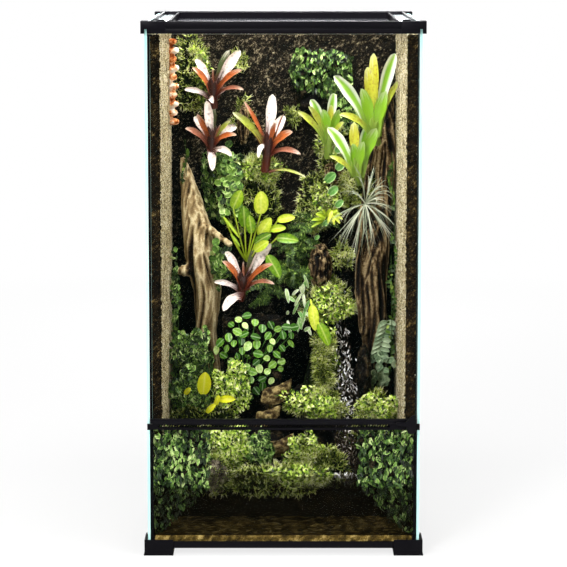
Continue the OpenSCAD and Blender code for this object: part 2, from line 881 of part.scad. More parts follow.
module yellow_bromeliads() color("#b9cf45") intersection() {
    habitat();
    difference() {
        yellow_shape();
        cut_by_stems();
        red_shape();
    }
}

module air_plant() color("#8d9a7c") intersection() {
    habitat();
    difference() {
        air_plant_shape();
        cut_by_stems();
        yellow_shape();
    }
}

module shelf_fungus() color("#d9925a") intersection() {
    habitat();
    difference() {
        fungus_shape();
        moss_shape();
        red_shape();
    }
}

module pool_water() color([0.2, 0.22, 0.12, 0.6]) difference() {
    pool([sand_top, water_top]);
    fig_shape();
    moss_shape();
}

base_frame();
foot_front_left();
foot_front_right();
foot_rear_left();
foot_rear_right();
floor_glass();
left_glass();
right_glass();
rear_glass();
lower_front_glass();
front_seal_left();
front_seal_right();
vent_bar();
vent_grille();
hinge_bush_lower();
hinge_bush_upper();
top_rail_front();
top_rail_rear();
top_cap_front_left();
top_cap_front_right();
top_cap_rear_left();
top_cap_rear_right();
top_strip_left();
top_strip_right();
top_trim_left();
top_trim_right();
door_glass();
door_profile();
door_hinge_block();
hinge_pin_upper();
hinge_pin_lower();
latch_housing();
latch_lever();
latch_cam();
lid_frame();
lid_mesh();
lid_lock_left();
lid_lock_right();
cable_slider_left();
cable_slider_right();
background_panel();
side_panel_left();
side_panel_right();
sand_bed();
pool_water();
planting_mound();
driftwood_left();
driftwood_right();
bark_shells();
water_trickle();
moss_cushions();
creeping_fig();
peperomia();
fern();
broadleaf_plant();
red_bromeliads();
yellow_bromeliads();
air_plant();
shelf_fungus();
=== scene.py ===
# %% [markdown]
# # A planted glass terrarium
# The construction (frame, panes, door, lid, panels and plain solids for the planting) comes from
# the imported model. This script gives every surface its finish and puts living-looking planting
# in the place of the plain solids. Lengths are in metres, or in millimetres where a text says so.

# %% Load the construction
import math

import bpy
import numpy as np
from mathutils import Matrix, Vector, noise


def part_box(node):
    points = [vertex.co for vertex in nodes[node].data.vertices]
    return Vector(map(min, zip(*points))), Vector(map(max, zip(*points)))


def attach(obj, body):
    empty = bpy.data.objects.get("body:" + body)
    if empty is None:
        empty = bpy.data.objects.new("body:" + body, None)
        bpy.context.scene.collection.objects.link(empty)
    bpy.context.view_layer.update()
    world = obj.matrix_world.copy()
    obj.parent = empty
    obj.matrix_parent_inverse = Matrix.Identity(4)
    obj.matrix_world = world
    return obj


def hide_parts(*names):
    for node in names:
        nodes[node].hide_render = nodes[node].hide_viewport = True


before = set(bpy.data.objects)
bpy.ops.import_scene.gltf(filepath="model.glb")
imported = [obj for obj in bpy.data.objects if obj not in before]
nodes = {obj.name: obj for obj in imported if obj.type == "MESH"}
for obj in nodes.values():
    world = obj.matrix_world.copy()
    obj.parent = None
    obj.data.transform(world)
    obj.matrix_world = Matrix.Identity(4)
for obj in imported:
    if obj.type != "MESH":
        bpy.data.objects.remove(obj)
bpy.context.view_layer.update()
MM = 0.001

# %% [markdown]
# ## The camera
# The photograph was taken from in front, a little above the roof, and its upright edges are
# almost parallel. A near camera would make them lean, so a long lens stands 3.8 m away, and a
# small shift of the lens lowers the tilt that is left.

# %% Camera
LENS = 148.9
CAMERA_DISTANCE = 3.8
CAMERA_HEIGHT = 1.035
TILT = math.radians(7.58)
SHIFT = -0.078
FRONT = -0.225

camera_data = bpy.data.cameras.new("camera")
camera = bpy.data.objects.new("camera", camera_data)
bpy.context.scene.collection.objects.link(camera)
camera.location = (0, FRONT - CAMERA_DISTANCE, CAMERA_HEIGHT)
camera.rotation_euler = (math.pi / 2 - TILT, 0, 0)
camera_data.lens = LENS
camera_data.shift_y = SHIFT
camera_data.clip_end = 100
bpy.context.scene.camera = camera
bpy.context.scene.view_settings.view_transform = "Standard"
print("camera at", tuple(camera.location))

# %% [markdown]
# ## Colours and shader nodes
# Colours are written as sRGB hex values, as on a paint card, while Blender computes in linear
# light, so one function turns them. A second fills in the inputs of a shader node, and a third
# adds a node, so that each finish below reads from top to bottom like a recipe.

# %% Helpers for colours and shader nodes
def linear(code, alpha=1.0):
    """The linear colour of an sRGB hex value"""
    parts = [int(code[i:i + 2], 16) / 255 for i in (1, 3, 5)]
    return tuple(c / 12.92 if c <= 0.04045 else ((c + 0.055) / 1.055) ** 2.4
                 for c in parts) + (alpha,)


def feed(node, **inputs):
    """Gives inputs their values, or links them to a socket or to a node's first output. An
    input is named with underscores for spaces, or _0, _1 by its place"""
    for name, value in inputs.items():
        socket = node.inputs[int(name[1:]) if name[1:].isdigit() else name.replace("_", " ")]
        if isinstance(value, bpy.types.Node):
            value = value.outputs[0]
        if isinstance(value, bpy.types.NodeSocket):
            node.id_data.links.new(value, socket)
        else:
            socket.default_value = value


def add(tree, kind, settings=None, **inputs):
    """Adds a shader node with its settings. The stops of a ramp are a text, as in
    "0.0 #000000, 1.0 #ffffff": each a place and its colour"""
    made = tree.nodes.new("ShaderNode" + kind)
    for name, value in (settings or {}).items():
        if name == "stops":
            stops = value.split(", ")
            while len(made.color_ramp.elements) < len(stops):
                made.color_ramp.elements.new(0.5)
            for element, stop in zip(made.color_ramp.elements, stops):
                place, code = stop.split()
                element.position = float(place)
                element.color = linear(code)
        else:
            setattr(made, name, value)
    feed(made, **inputs)
    return made


def start(name):
    """A new material, its tree and its Principled shader"""
    made = bpy.data.materials.new(name)
    made.use_nodes = True
    return made, made.node_tree, made.node_tree.nodes["Principled BSDF"]


print("middle grey in linear light:", linear("#808080")[0])

# %% [markdown]
# ## Light and floor
# The photograph has the even, soft light of a product studio. Four square panels give it: one
# from the front left, one from the front right, one above the screen, and one behind that draws
# a thin line along the top frame. A plain white plane would come out grey, so the camera sees
# the floor as nearly pure white, with part of the shadow left in it, and far off as pure white.

# %% Lamps, world and floor
WORLD_LIGHT = 0.2
FLOOR_SIZE = 40
UNDER_FEET = 0.0002
# The share of pure white near the terrarium, and between which distances it becomes full.
NEAR_WHITE = 0.8
WHITE_FROM, WHITE_TO = 0.7, 3.0


def softbox(name, place, target, size, power):
    """A square lamp that looks at a target: its side in metres and its power in watts"""
    data = bpy.data.lights.new(name, "AREA")
    data.size = size
    data.energy = power
    lamp = bpy.data.objects.new(name, data)
    bpy.context.scene.collection.objects.link(lamp)
    lamp.location = place
    aim = Vector(target) - Vector(place)
    lamp.rotation_euler = aim.to_track_quat("-Z", "Y").to_euler()


softbox("key", (-1.3, -3.0, 2.2), (0, 0, 0.5), 0.8, 106)
softbox("fill", (1.9, -2.5, 1.0), (0, 0, 0.45), 1.4, 28)
softbox("above", (0.02, -0.12, 1.3), (0, 0.05, 0.4), 0.5, 26)
softbox("behind", (0, 2.8, 1.12), (0, 0.2, 0.88), 0.7, 30)

# The world is white where the camera sees it, also through glass, and lights the scene less.
world = bpy.data.worlds.new("studio")
bpy.context.scene.world = world
world.use_nodes = True
path = add(world.node_tree, "LightPath")
seen = add(world.node_tree, "Math", {"operation": "MAXIMUM"},
           _0=path.outputs["Is Camera Ray"], _1=path.outputs["Is Transmission Ray"])
level = add(world.node_tree, "MapRange", Value=seen, To_Min=WORLD_LIGHT, To_Max=1.0)
feed(world.node_tree.nodes["Background"], Color=(1, 1, 1, 1), Strength=level)


def white_floor():
    """Matt white paper; other rays than the camera's see it as it is, so it lights the frame"""
    made, tree, surface = start("matt white paper")
    feed(surface, Base_Color=linear("#f4f4f4"), Roughness=0.9)
    rays = add(tree, "LightPath")
    white = add(tree, "Emission", Strength=1.0)
    place = add(tree, "TexCoord")
    far = add(tree, "VectorMath", {"operation": "LENGTH"}, _0=place.outputs["Object"])
    share = add(tree, "MapRange", Value=far.outputs["Value"], From_Min=WHITE_FROM,
                From_Max=WHITE_TO, To_Min=NEAR_WHITE, To_Max=1.0)
    seen = add(tree, "Math", {"operation": "MULTIPLY"}, _0=rays.outputs["Is Camera Ray"],
               _1=share)
    mix = add(tree, "MixShader", Fac=seen, _1=surface, _2=white)
    feed(tree.nodes["Material Output"], Surface=mix)
    return made


bpy.ops.mesh.primitive_plane_add(size=FLOOR_SIZE, location=(0, 0, -UNDER_FEET))
floor = bpy.context.object
floor.name = "floor"
floor.data.materials.append(white_floor())
print("lamps:", len(bpy.data.lights))

# %% [markdown]
# ## Hard parts: moulded plastic, glass and seals
# A moulded edge is never sharp: it catches a thin line of light. Each plastic node is therefore
# copied, its loose triangles merged, and its edges rounded by a Bevel modifier. The edges could
# be rounded in the construction too, but there the fillets would only make the solids heavier.

# %% Selection, finishing and placing of pieces
def only(piece):
    """Selects one object, and nothing else, and makes it active"""
    bpy.ops.object.select_all(action="DESELECT")
    piece.select_set(True)
    bpy.context.view_layer.objects.active = piece


def settle(piece, body, slot, *replaced):
    """The piece rides on a body and stands for the nodes named last; slot is not used"""
    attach(piece, body)
    if replaced:
        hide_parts(*replaced)
    return piece


def dress(node, *materials):
    """Gives a node of the construction its materials and returns its mesh"""
    mesh = nodes[node].data
    mesh.materials.clear()
    for material in materials:
        mesh.materials.append(material)
    return mesh


def copy_of(node, ending):
    """A new object with a merged copy of a node's mesh"""
    piece = bpy.data.objects.new(node + ending, nodes[node].data.copy())
    bpy.context.scene.collection.objects.link(piece)
    piece.data.materials.clear()
    only(piece)
    bpy.ops.object.mode_set(mode="EDIT")
    bpy.ops.mesh.select_all(action="SELECT")
    bpy.ops.mesh.remove_doubles(threshold=1e-6)
    bpy.ops.mesh.dissolve_limited(angle_limit=math.radians(0.5))
    bpy.ops.object.mode_set(mode="OBJECT")
    return piece


def moulded(node, body, slot, material, radius):
    """A node's copy with rounded edges: those that turn by more than 35 degrees"""
    piece = copy_of(node, "_moulding")
    edges = piece.modifiers.new("Edges", "BEVEL")
    edges.width = radius
    edges.segments = 2
    edges.limit_method = "ANGLE"
    edges.angle_limit = math.radians(35)
    bpy.ops.object.modifier_apply(modifier="Edges")
    bpy.ops.object.shade_smooth_by_angle(angle=math.radians(32))
    piece.data.materials.append(material)
    return settle(piece, body, slot, node)


# %% [markdown]
# Black ABS comes from a spark-eroded mould: a fine even texture breaks up its highlights, and
# handling polishes it in patches. Glass could be a refracting shader, but several thin panes of it
# in front of dense planting would be slow and dark. A pane is mostly open instead, with a little
# of its own green and a faint gloss, and only its cut edges are bright, partly by a painted glow.

# %% Materials of the hard parts
def satin_plastic(name, code, roughness, gloss=0.06):
    """Moulded plastic: spark texture as a bump, and worn patches in the roughness"""
    # The real texture is finer than 0.1 mm, so it is drawn coarser, at 0.9 mm, to show at all.
    made, tree, surface = start(name)
    place = add(tree, "TexCoord")
    spark = add(tree, "TexNoise", Vector=place.outputs["Object"], Scale=1 / (0.9 * MM), Detail=2.0)
    wear = add(tree, "TexNoise", Vector=place.outputs["Object"], Scale=1 / (60 * MM), Detail=3.0)
    tone = add(tree, "MapRange", Value=wear, From_Min=0.3, From_Max=0.7,
               To_Min=roughness - 0.05, To_Max=roughness + 0.07)
    bump = add(tree, "Bump", Height=spark, Strength=0.12, Distance=0.05 * MM)
    feed(surface, Base_Color=linear(code), IOR=1.5, Specular_IOR_Level=gloss, Roughness=tone,
         Normal=bump)
    return made


def clear(name, code, alpha, roughness):
    """A see-through sheet: mostly open, with a little of its own colour and a faint gloss"""
    made, _, surface = start(name)
    feed(surface, Base_Color=linear(code), Roughness=roughness, Alpha=alpha, IOR=1.52,
         Specular_IOR_Level=0.02)
    return made


def cut_glass():
    """The cut edge of float glass: iron in it gives the pale blue-green of a long light path, and
    a painted glow stands in for the light that the pane pipes to it"""
    made, tree, surface = start("cut edge of float glass")
    place = add(tree, "TexCoord")
    # Marks of the grinding wheel, drawn coarser than they are: 4 mm apart and 110 mm long.
    streak = add(tree, "Mapping", Vector=place.outputs["Object"], Scale=(260, 260, 9))
    cut = add(tree, "TexNoise", Vector=streak, Scale=1.0, Detail=3.0)
    colour = add(tree, "ValToRGB", {"stops": "0.3 #9fd2cb, 0.7 #c4ece6"}, Fac=cut)
    # The emission is a painted glow.
    feed(surface, Base_Color=colour, Emission_Color=colour, Emission_Strength=0.12,
         Roughness=0.25)
    return made


def drawn_steel(name, code, roughness):
    """Steel drawn to a rod or wire: fine marks of the die vary its gloss"""
    # Real marks are too fine to show, so they are drawn coarser, at 0.5 mm.
    made, tree, surface = start(name)
    place = add(tree, "TexCoord")
    marks = add(tree, "TexNoise", Vector=place.outputs["Object"], Scale=1 / (0.5 * MM), Detail=2.0)
    tone = add(tree, "MapRange", Value=marks, To_Min=roughness - 0.08, To_Max=roughness + 0.08)
    feed(surface, Base_Color=linear(code), Metallic=1.0, Roughness=tone)
    return made


# Carbon black in the plastic leaves only a trace of blue, and the mould a satin gloss.
ABS = satin_plastic("black ABS, moulded", "#08070b", 0.42)
# Extruded and polished by hands, so a little glossier than the frame.
DOOR_ABS = satin_plastic("black ABS, door trim", "#0b0a0e", 0.36)
# Coarser mould, seen from above against the light: hardly any gloss. Its black is a little deeper
# than the frame's, as painted shade inside the lid.
SHADED_LID_ABS = satin_plastic("black ABS, lid, in painted shade", "#060508", 0.5, 0.03)
# Wiped-on silicone: a dull skin.
SEAL = satin_plastic("black silicone rubber", "#070708", 0.62)
# Unpigmented nylon is milky and a little yellow.
NYLON = satin_plastic("natural nylon", "#cfc8b4", 0.45)
# Float glass is smooth from the tin bath. Seen through its face it is hardly tinted.
PANE = clear("clear float glass", "#0f1a18", 0.06, 0.02)
# Extruded acrylic shows more of its own milky white than glass.
ACRYLIC = clear("clear acrylic strip", "#e9f2f4", 0.4, 0.12)
EDGE = cut_glass()
# The pins are drawn smooth and bright.
STEEL = drawn_steel("stainless steel pin", "#b9b9bb", 0.3)
# Thin wire, annealed for weaving, is duller. It is drawn much darker than the pins as painted
# shade: in the weave each wire lies in the shade of its neighbours.
SHADED_WIRE = drawn_steel("stainless steel wire in painted shade", "#47474c", 0.42)
print("materials so far:", len(bpy.data.materials))

# %% [markdown]
# The panes keep their nodes. Each has one thin axis: faces that look along it are clear, and all
# others are cut edges. Every plastic part has its own radius in millimetres: wide on the frame
# and on the lever that a finger turns, small on trims.

# %% Finish the hard parts
for node, thin in (("left_glass", 0), ("right_glass", 0), ("rear_glass", 1),
                   ("floor_glass", 2), ("lower_front_glass", 1), ("door_glass", 1)):
    for face in dress(node, PANE, EDGE).polygons:
        face.material_index = 0 if abs(face.normal[thin]) > 0.5 else 1

CORNERS = ("front_left", "front_right", "rear_left", "rear_right")
FRAME_PARTS = (["base_frame", "vent_bar", "top_rail_front", "top_rail_rear"]
               + ["foot_" + corner for corner in CORNERS]
               + ["top_cap_" + corner for corner in CORNERS]
               + ["top_trim_left", "top_trim_right"])
DOOR_TRIM = ["door_profile", "door_hinge_block", "latch_housing"]
for body, slot, material, radius_mm, names in (
        ("tank", "black_frame", ABS, 0.5, FRAME_PARTS),
        ("door", "black_door_trim", DOOR_ABS, 0.3, DOOR_TRIM),
        ("latch", "black_door_trim", DOOR_ABS, 0.6, ["latch_lever"]),
        ("latch", "black_door_trim", DOOR_ABS, 0.2, ["latch_cam"]),
        ("screen_lid", "black_lid", SHADED_LID_ABS, 0.5, ["lid_frame"]),
        ("lock_left", "black_lid", SHADED_LID_ABS, 0.3, ["lid_lock_left"]),
        ("lock_right", "black_lid", SHADED_LID_ABS, 0.3, ["lid_lock_right"]),
        ("port_slider_left", "black_lid", SHADED_LID_ABS, 0.3, ["cable_slider_left"]),
        ("port_slider_right", "black_lid", SHADED_LID_ABS, 0.3, ["cable_slider_right"])):
    for name in names:
        moulded(name, body, slot, material, radius_mm * MM)

for material, names in ((ABS, ["vent_grille"]), (SEAL, ["front_seal_left", "front_seal_right"]),
                        (NYLON, ["hinge_bush_lower", "hinge_bush_upper"]),
                        (STEEL, ["hinge_pin_lower", "hinge_pin_upper"]),
                        (ACRYLIC, ["top_strip_left", "top_strip_right"])):
    for name in names:
        dress(name, material)
print("frame parts:", len(FRAME_PARTS), "door trims:", len(DOOR_TRIM))

# %% [markdown]
# ## Building many leaves at once
# The planting has tens of thousands of leaves. Each could be its own object, but that would be
# slow, so a leaf or shoot is modelled once. Its triangles are then copied to every place as
# arrays, and all the copies become one mesh. Each corner keeps a UV place (across, along) on its
# leaf, with 1 added across for the underside, and each copy has one number, its shade.

# %% Templates and copies
TINY = 1e-9
UNDERSIDE = -0.1


class Template:
    """The points, triangles and UV corners of a modelled shape"""

    def __init__(self, piece):
        mesh = piece.data
        mesh.calc_loop_triangles()
        self.points = np.array([v.co for v in mesh.vertices])
        self.faces = np.array([t.vertices[:] for t in mesh.loop_triangles])
        normals = np.array([t.normal for t in mesh.loop_triangles])
        low, high = self.points.min(0), self.points.max(0)
        share = (self.points - low) / np.maximum(high - low, TINY)
        self.uv = share[self.faces][:, :, [1, 0]]
        self.uv[:, :, 0] += (normals[:, 2] < UNDERSIDE)[:, None]
        bpy.data.objects.remove(piece)


class Growth:
    """Collects shapes and makes them one mesh with the UV map place and the attribute shade"""

    def __init__(self):
        self.points, self.faces, self.uv, self.shade, self.count = [], [], [], [], 0

    def add(self, points, faces, uv, shade):
        """shade is one number for the whole shape, or one for each point"""
        self.points.append(points)
        self.faces.append(faces + self.count)
        self.uv.append(uv)
        self.shade.append(np.full(len(points), shade) if np.isscalar(shade) else shade)
        self.count += len(points)

    def copies(self, template, places, axes, shades):
        """axes holds three row vectors for each place, scaled to the copy's size"""
        points = np.einsum("pk,nkj->npj", template.points, axes) + places[:, None, :]
        count = len(template.points)
        faces = template.faces[None] + (np.arange(len(places)) * count)[:, None, None]
        uv = np.tile(template.uv, (len(places), 1, 1))
        self.add(points.reshape(-1, 3), faces.reshape(-1, 3), uv, np.repeat(shades, count))

    def build(self, name, material, limits=None):
        """limits are two corners of the room that the points may not leave"""
        points = np.concatenate(self.points)
        if limits is not None:
            points = np.clip(points, limits[0], limits[1])
        mesh = bpy.data.meshes.new(name)
        mesh.from_pydata(points, [], np.concatenate(self.faces))
        layer = mesh.uv_layers.new(name="place")
        layer.data.foreach_set("uv", np.concatenate(self.uv).ravel().astype(np.float32))
        shade = mesh.attributes.new("shade", "FLOAT", "POINT")
        shade.data.foreach_set("value", np.concatenate(self.shade).astype(np.float32))
        mesh.materials.append(material)
        piece = bpy.data.objects.new(name, mesh)
        bpy.context.scene.collection.objects.link(piece)
        only(piece)
        bpy.ops.object.shade_smooth_by_angle(angle=math.radians(50))
        print(name, len(mesh.polygons), "triangles")
        return piece


def unit(vectors):
    """The same directions with length 1"""
    return vectors / np.maximum(np.linalg.norm(vectors, axis=-1, keepdims=True), TINY)


def axes_for(along, out, size):
    """Rows for copies: x runs along, z looks out, y is across; size is (length, width, height)"""
    x = unit(along)
    y = unit(np.cross(out, x))
    z = np.cross(x, y)
    return np.stack([x * size[..., 0:1], y * size[..., 1:2], z * size[..., 2:3]], 1)


# %% [markdown]
# Places come from two sources: the surface of a plain solid of the construction, or a rounded
# clump given by its middle and half sizes. Particles could scatter them too, but arrays repeat
# exactly on every run. Both kinds are then ruffled by a smooth noise, since no cushion of moss
# has an even outline.

# %% Where things grow
def surface_points(node, count, rng, keep=None):
    """Random points on a node's surface with their outward directions"""
    mesh = nodes[node].data
    mesh.calc_loop_triangles()
    co = np.array([v.co for v in mesh.vertices])
    tri = np.array([t.vertices[:] for t in mesh.loop_triangles])
    a, b, c = co[tri[:, 0]], co[tri[:, 1]], co[tri[:, 2]]
    cross = np.cross(b - a, c - a)
    area = np.linalg.norm(cross, axis=1)
    normal = unit(cross)
    if keep is not None:
        area = area * keep((a + b + c) / 3, normal)
    pick = rng.choice(len(tri), count, p=area / area.sum())
    r, s = np.sqrt(rng.random(count))[:, None], rng.random(count)[:, None]
    return (1 - r) * a[pick] + r * (1 - s) * b[pick] + r * s * c[pick], normal[pick]


def clump(middle, half, count, rng):
    """Random points on the front of a rounded clump with three and five lobes round its edge;
    middle and half sizes are in mm"""
    turn = rng.uniform(0, 2 * math.pi, count)
    wave = 1 + 0.2 * np.sin(3 * turn + middle[0]) + 0.15 * np.sin(5 * turn + middle[2])
    far = np.sqrt(rng.random(count))
    x, z = far * np.cos(turn), far * np.sin(turn)
    y = -np.sqrt(1 - 0.85 * far ** 2)
    out = unit(np.stack([x / half[0], y / half[1], z / half[2]], 1))
    ball = np.stack([x * wave, y, z * wave], 1) * np.array(half)
    return (np.array(middle) + ball) * MM, out


def clumps(table, rng):
    """The points of each clump in a table of middles, half sizes and counts"""
    for middle, half, count in table:
        yield clump(middle, half, count, rng)


def ruffle(places, outward, size, depth):
    """Pushes points out in lumps of this size and depth; returns them and their noise"""
    push = np.array([noise.noise(Vector(p / size)) for p in places])
    return places + outward * (depth * (0.35 + push))[:, None], push


# %% [markdown]
# ## Templates for leaves, shoots and straps
# Small leaves start as a flat disc, extruded so that they are closed. Their points are then
# drawn in towards the tip and lifted along the sides. A moss shoot is a cone with three sides.
# Finer shapes would need many more faces, and at this size a few dozen show the same outline.

# %% Leaf and shoot templates
LEAF_THICKNESS = 0.04
WIDEST = 0.45


def primitive(adder, **settings):
    """A new primitive, selected alone, with its place applied to its mesh"""
    bpy.ops.object.select_all(action="DESELECT")
    adder(**settings)
    bpy.ops.object.transform_apply(location=True, rotation=True, scale=True)
    return bpy.context.object


def oval_leaf(points, tip, fold):
    """A closed leaf 1 long and 1 wide along +X: tip draws in its end, fold lifts its sides"""
    piece = primitive(bpy.ops.mesh.primitive_circle_add, vertices=points, radius=0.5,
                      fill_type="TRIFAN", location=(0.5, 0, 0))
    bpy.ops.object.mode_set(mode="EDIT")
    bpy.ops.mesh.select_all(action="SELECT")
    bpy.ops.mesh.extrude_region_move(TRANSFORM_OT_translate={"value": (0, 0, LEAF_THICKNESS)})
    bpy.ops.mesh.select_all(action="SELECT")
    bpy.ops.mesh.normals_make_consistent(inside=False)
    bpy.ops.object.mode_set(mode="OBJECT")
    for vertex in piece.data.vertices:
        x, y, z = vertex.co
        narrow = 1 - tip * max(0.0, x - WIDEST) / (1 - WIDEST)
        vertex.co = (x, y * narrow, z + fold * abs(y) - 0.25 * fold * x * x)
    return Template(piece)


def needle(sides):
    """A closed thin spike, 1 long along +X"""
    piece = primitive(bpy.ops.mesh.primitive_cone_add, vertices=sides, radius1=0.5, radius2=0.0,
                      depth=1, end_fill_type="NGON")
    for vertex in piece.data.vertices:
        x, y, z = vertex.co
        vertex.co = (z + 0.5, x, y)
    bpy.ops.object.mode_set(mode="EDIT")
    bpy.ops.mesh.select_all(action="SELECT")
    bpy.ops.mesh.normals_make_consistent(inside=False)
    bpy.ops.object.mode_set(mode="OBJECT")
    return Template(piece)


LEAF = oval_leaf(6, 0.55, 0.22)
ROUND_LEAF = oval_leaf(12, 0.25, 0.12)
NEEDLE = needle(3)
print("triangles of a leaf, a round leaf and a shoot:", len(LEAF.faces), len(ROUND_LEAF.faces),
      len(NEEDLE.faces))

# %% [markdown]
# A strap starts as a bar cut into short lengths along it and across it, so that it can be bent
# along a curve and hollowed like a channel. Loop cut needs a window, so the edges of one
# direction are picked and subdivided instead.

# %% Strap templates
def strap_bar(along, across):
    """A bar from 0 to 1 along X and -1 to 1 along Y, cut into short lengths to be bent"""
    piece = primitive(bpy.ops.mesh.primitive_cube_add, size=1, location=(0.5, 0, -0.5))
    bpy.ops.object.mode_set(mode="EDIT")
    bpy.ops.mesh.select_mode(type="EDGE")
    bpy.ops.mesh.select_all(action="DESELECT")
    bpy.ops.object.mode_set(mode="OBJECT")
    for axis, cuts in ((0, along), (1, across)):
        for edge in piece.data.edges:
            a, b = (piece.data.vertices[i].co for i in edge.vertices)
            edge.select = abs((b - a)[axis]) > 1e-4
        bpy.ops.object.mode_set(mode="EDIT")
        bpy.ops.mesh.subdivide(number_cuts=cuts)
        bpy.ops.mesh.select_all(action="DESELECT")
        bpy.ops.object.mode_set(mode="OBJECT")
    for vertex in piece.data.vertices:
        vertex.co.y *= 2
    return Template(piece)


STRAP = strap_bar(13, 5)
STALK = strap_bar(6, 1)
STRAP_THIN = strap_bar(11, 1)
print("triangles of a strap, a stalk and a thin strap:", len(STRAP.faces), len(STALK.faces),
      len(STRAP_THIN.faces))

# %% [markdown]
# A wall of leaves looks alive when no two lie alike, yet all obey weight and light. Scattered
# leaves therefore get a random direction that is pulled down and turned to the front. Long
# leaves are bent one by one along a smooth arc through three given points.

# %% Scattering leaves and bending straps
UP = np.array([0.0, 0.0, 1.0])
TO_FRONT = np.array([0, -1, 0.4])


def scatter(growth, template, places, outward, rng, length, hang=0.5, face=0.5, spread=0.4,
            width=0.85, shades=(2.0, 2.0), tone=0.0):
    """Leaves at places: hang turns their tips down, face turns them to the front, spread varies
    that, length is their shortest and longest in mm, width its share, and shades the beta
    distribution of their shades, moved by tone"""
    count = len(places)
    out = unit(outward + rng.normal(0, spread, (count, 3)) + face * TO_FRONT)
    along = hang * -UP + rng.normal(0, 0.6, (count, 3))
    along = along - 0.85 * out * (along * out).sum(1, keepdims=True)
    size = rng.uniform(*length, count) * MM
    axes = axes_for(along, out, np.stack([size, size * width, size], 1))
    growth.copies(template, places - 0.5 * axes[:, 0], axes,
                  (rng.beta(*shades, count) + tone).clip(0, 1))


def bend(growth, template, base, bow, tip, width, thick, shade, face=(0, -1, 0.15),
         profile=None, hollow=0.16, curl=0.0):
    """A bar bent from base over bow to tip, all in mm; face is where its upper side looks,
    profile its width along its length, hollow its channel, and curl how far its tip lifts"""
    base, bow, tip = (np.array(p, float) for p in (base, bow, tip))
    t = template.points[:, 0:1]
    line = (1 - t) ** 2 * base + 2 * t * (1 - t) * bow + t ** 2 * tip
    ahead = unit(2 * (1 - t) * (bow - base) + 2 * t * (tip - bow) + TINY)
    side = unit(np.cross(unit(np.array(face, float)), ahead))
    up = np.cross(ahead, side)
    u, low = template.points[:, 1:2], template.points[:, 2:3]
    half = 0.5 * width * (profile(t) if profile else np.ones_like(t))
    lift = hollow * 2 * half * u ** 2 + curl * width * t ** 3
    points = line + side * u * half + up * (lift + low * thick * (1.05 - u ** 2))
    growth.add(points * MM, template.faces, template.uv, shade)


def strap_width(t):
    """Strap leaf: wide foot round the cup, broad after the middle, rounded at the tip"""
    body = 0.78 + 0.22 * np.cos(math.pi * (1 + 2 * (t - 0.62).clip(-0.5, 0.5))) ** 2
    return body * np.sqrt(np.clip(1 - ((t - 0.74) / 0.26).clip(0, 1) ** 2.4, 0.015, 1))


def oval_width(t):
    """Broad leaf: round at both ends, widest before the middle"""
    return np.sqrt(np.clip(np.sin(np.pi * (0.03 + 0.97 * t) ** 0.9), 0.02, 1))


def taper(t):
    """Grass-like leaf: narrows to a point"""
    return np.clip(1 - t ** 1.6, 0.04, 1)


# %% [markdown]
# ## Finishes of ground and wood
# Cork, sand, soil, wood and bark have one thing in common: their hollows are dark and damp and
# their high spots are worn pale. A painted picture could show that, but it would have to be
# fitted to each piece. Here the colour follows the relief that is carved into the mesh later,
# and specks of a real size break it up.

# %% Weathered surfaces
def weathered(name, stops, speck_mm, roughness, bump_mm, speck=0.35, painted_shade_low=None):
    """Colour by the relief, from hollows to high spots, with specks of a size and strength.
    painted_shade_low darkens the colour low down, as painted shade: the height in mm where it is
    full, the height where it ends, and what it leaves"""
    made, tree, surface = start(name)
    place = add(tree, "TexCoord")
    relief = add(tree, "Attribute", {"attribute_name": "relief"})
    grit = add(tree, "TexNoise", Vector=place.outputs["Object"], Scale=1 / (speck_mm * MM),
               Detail=3.0, Roughness=0.7)
    spread = add(tree, "MapRange", Value=grit, From_Min=0.32, From_Max=0.68,
                 To_Min=-speck, To_Max=speck)
    level = add(tree, "Math", {"operation": "ADD"}, _0=relief.outputs["Fac"], _1=spread)
    colour = add(tree, "ValToRGB", {"stops": stops}, Fac=level)
    # Painted shade: below a height the colour is scaled down.
    if painted_shade_low:
        height = add(tree, "SeparateXYZ", Vector=place.outputs["Object"])
        painted_shade_level = add(tree, "MapRange", Value=height.outputs["Z"], From_Min=painted_shade_low[0] * MM,
                   From_Max=painted_shade_low[1] * MM, To_Min=painted_shade_low[2], To_Max=1.0)
        colour = add(tree, "VectorMath", {"operation": "SCALE"}, _0=colour, Scale=painted_shade_level)
    bump = add(tree, "Bump", Height=level, Strength=0.8, Distance=bump_mm * MM)
    feed(surface, Base_Color=colour, Normal=bump, Roughness=roughness, Specular_IOR_Level=0.08)
    return made


# Bark granules pressed to a board: black seams between brown grains, with painted shade low in the
# tank.
DARK_CORK = weathered(
    "dark pressed cork", "0.0 #060503, 0.4 #1c1811, 0.62 #453b2c, 0.84 #73664e, 1.0 #bdb08e",
    speck_mm=1.7, roughness=0.8, bump_mm=1.6, speck=0.6, painted_shade_low=(330, 740, 0.2))
# The same board from pale granules, cut so that many grains are open.
TAN_CORK = weathered(
    "tan pressed cork", "0.0 #2a1e0e, 0.25 #97824f, 0.5 #eedaa2, 1.0 #fffae2", speck_mm=3.0,
    roughness=0.85, bump_mm=1.4, speck=0.85)
# The tan board's front edge is drawn dark: painted shade, since the edge lies in shadow.
SHADED_CORK_EDGE = weathered(
    "tan cork edge in painted shade", "0.0 #080502, 0.45 #261c0d, 0.75 #46371c, 1.0 #8a7344", speck_mm=2.0,
    roughness=0.9, bump_mm=1.0, speck=0.45)
# Washed grains of many browns, wet, so darker than dry sand.
SAND = weathered(
    "coarse river sand", "0.0 #1f180a, 0.45 #5f4d22, 0.75 #8d7435, 1.0 #cdb36c", speck_mm=1.6,
    roughness=0.8, bump_mm=0.8, speck=0.35)
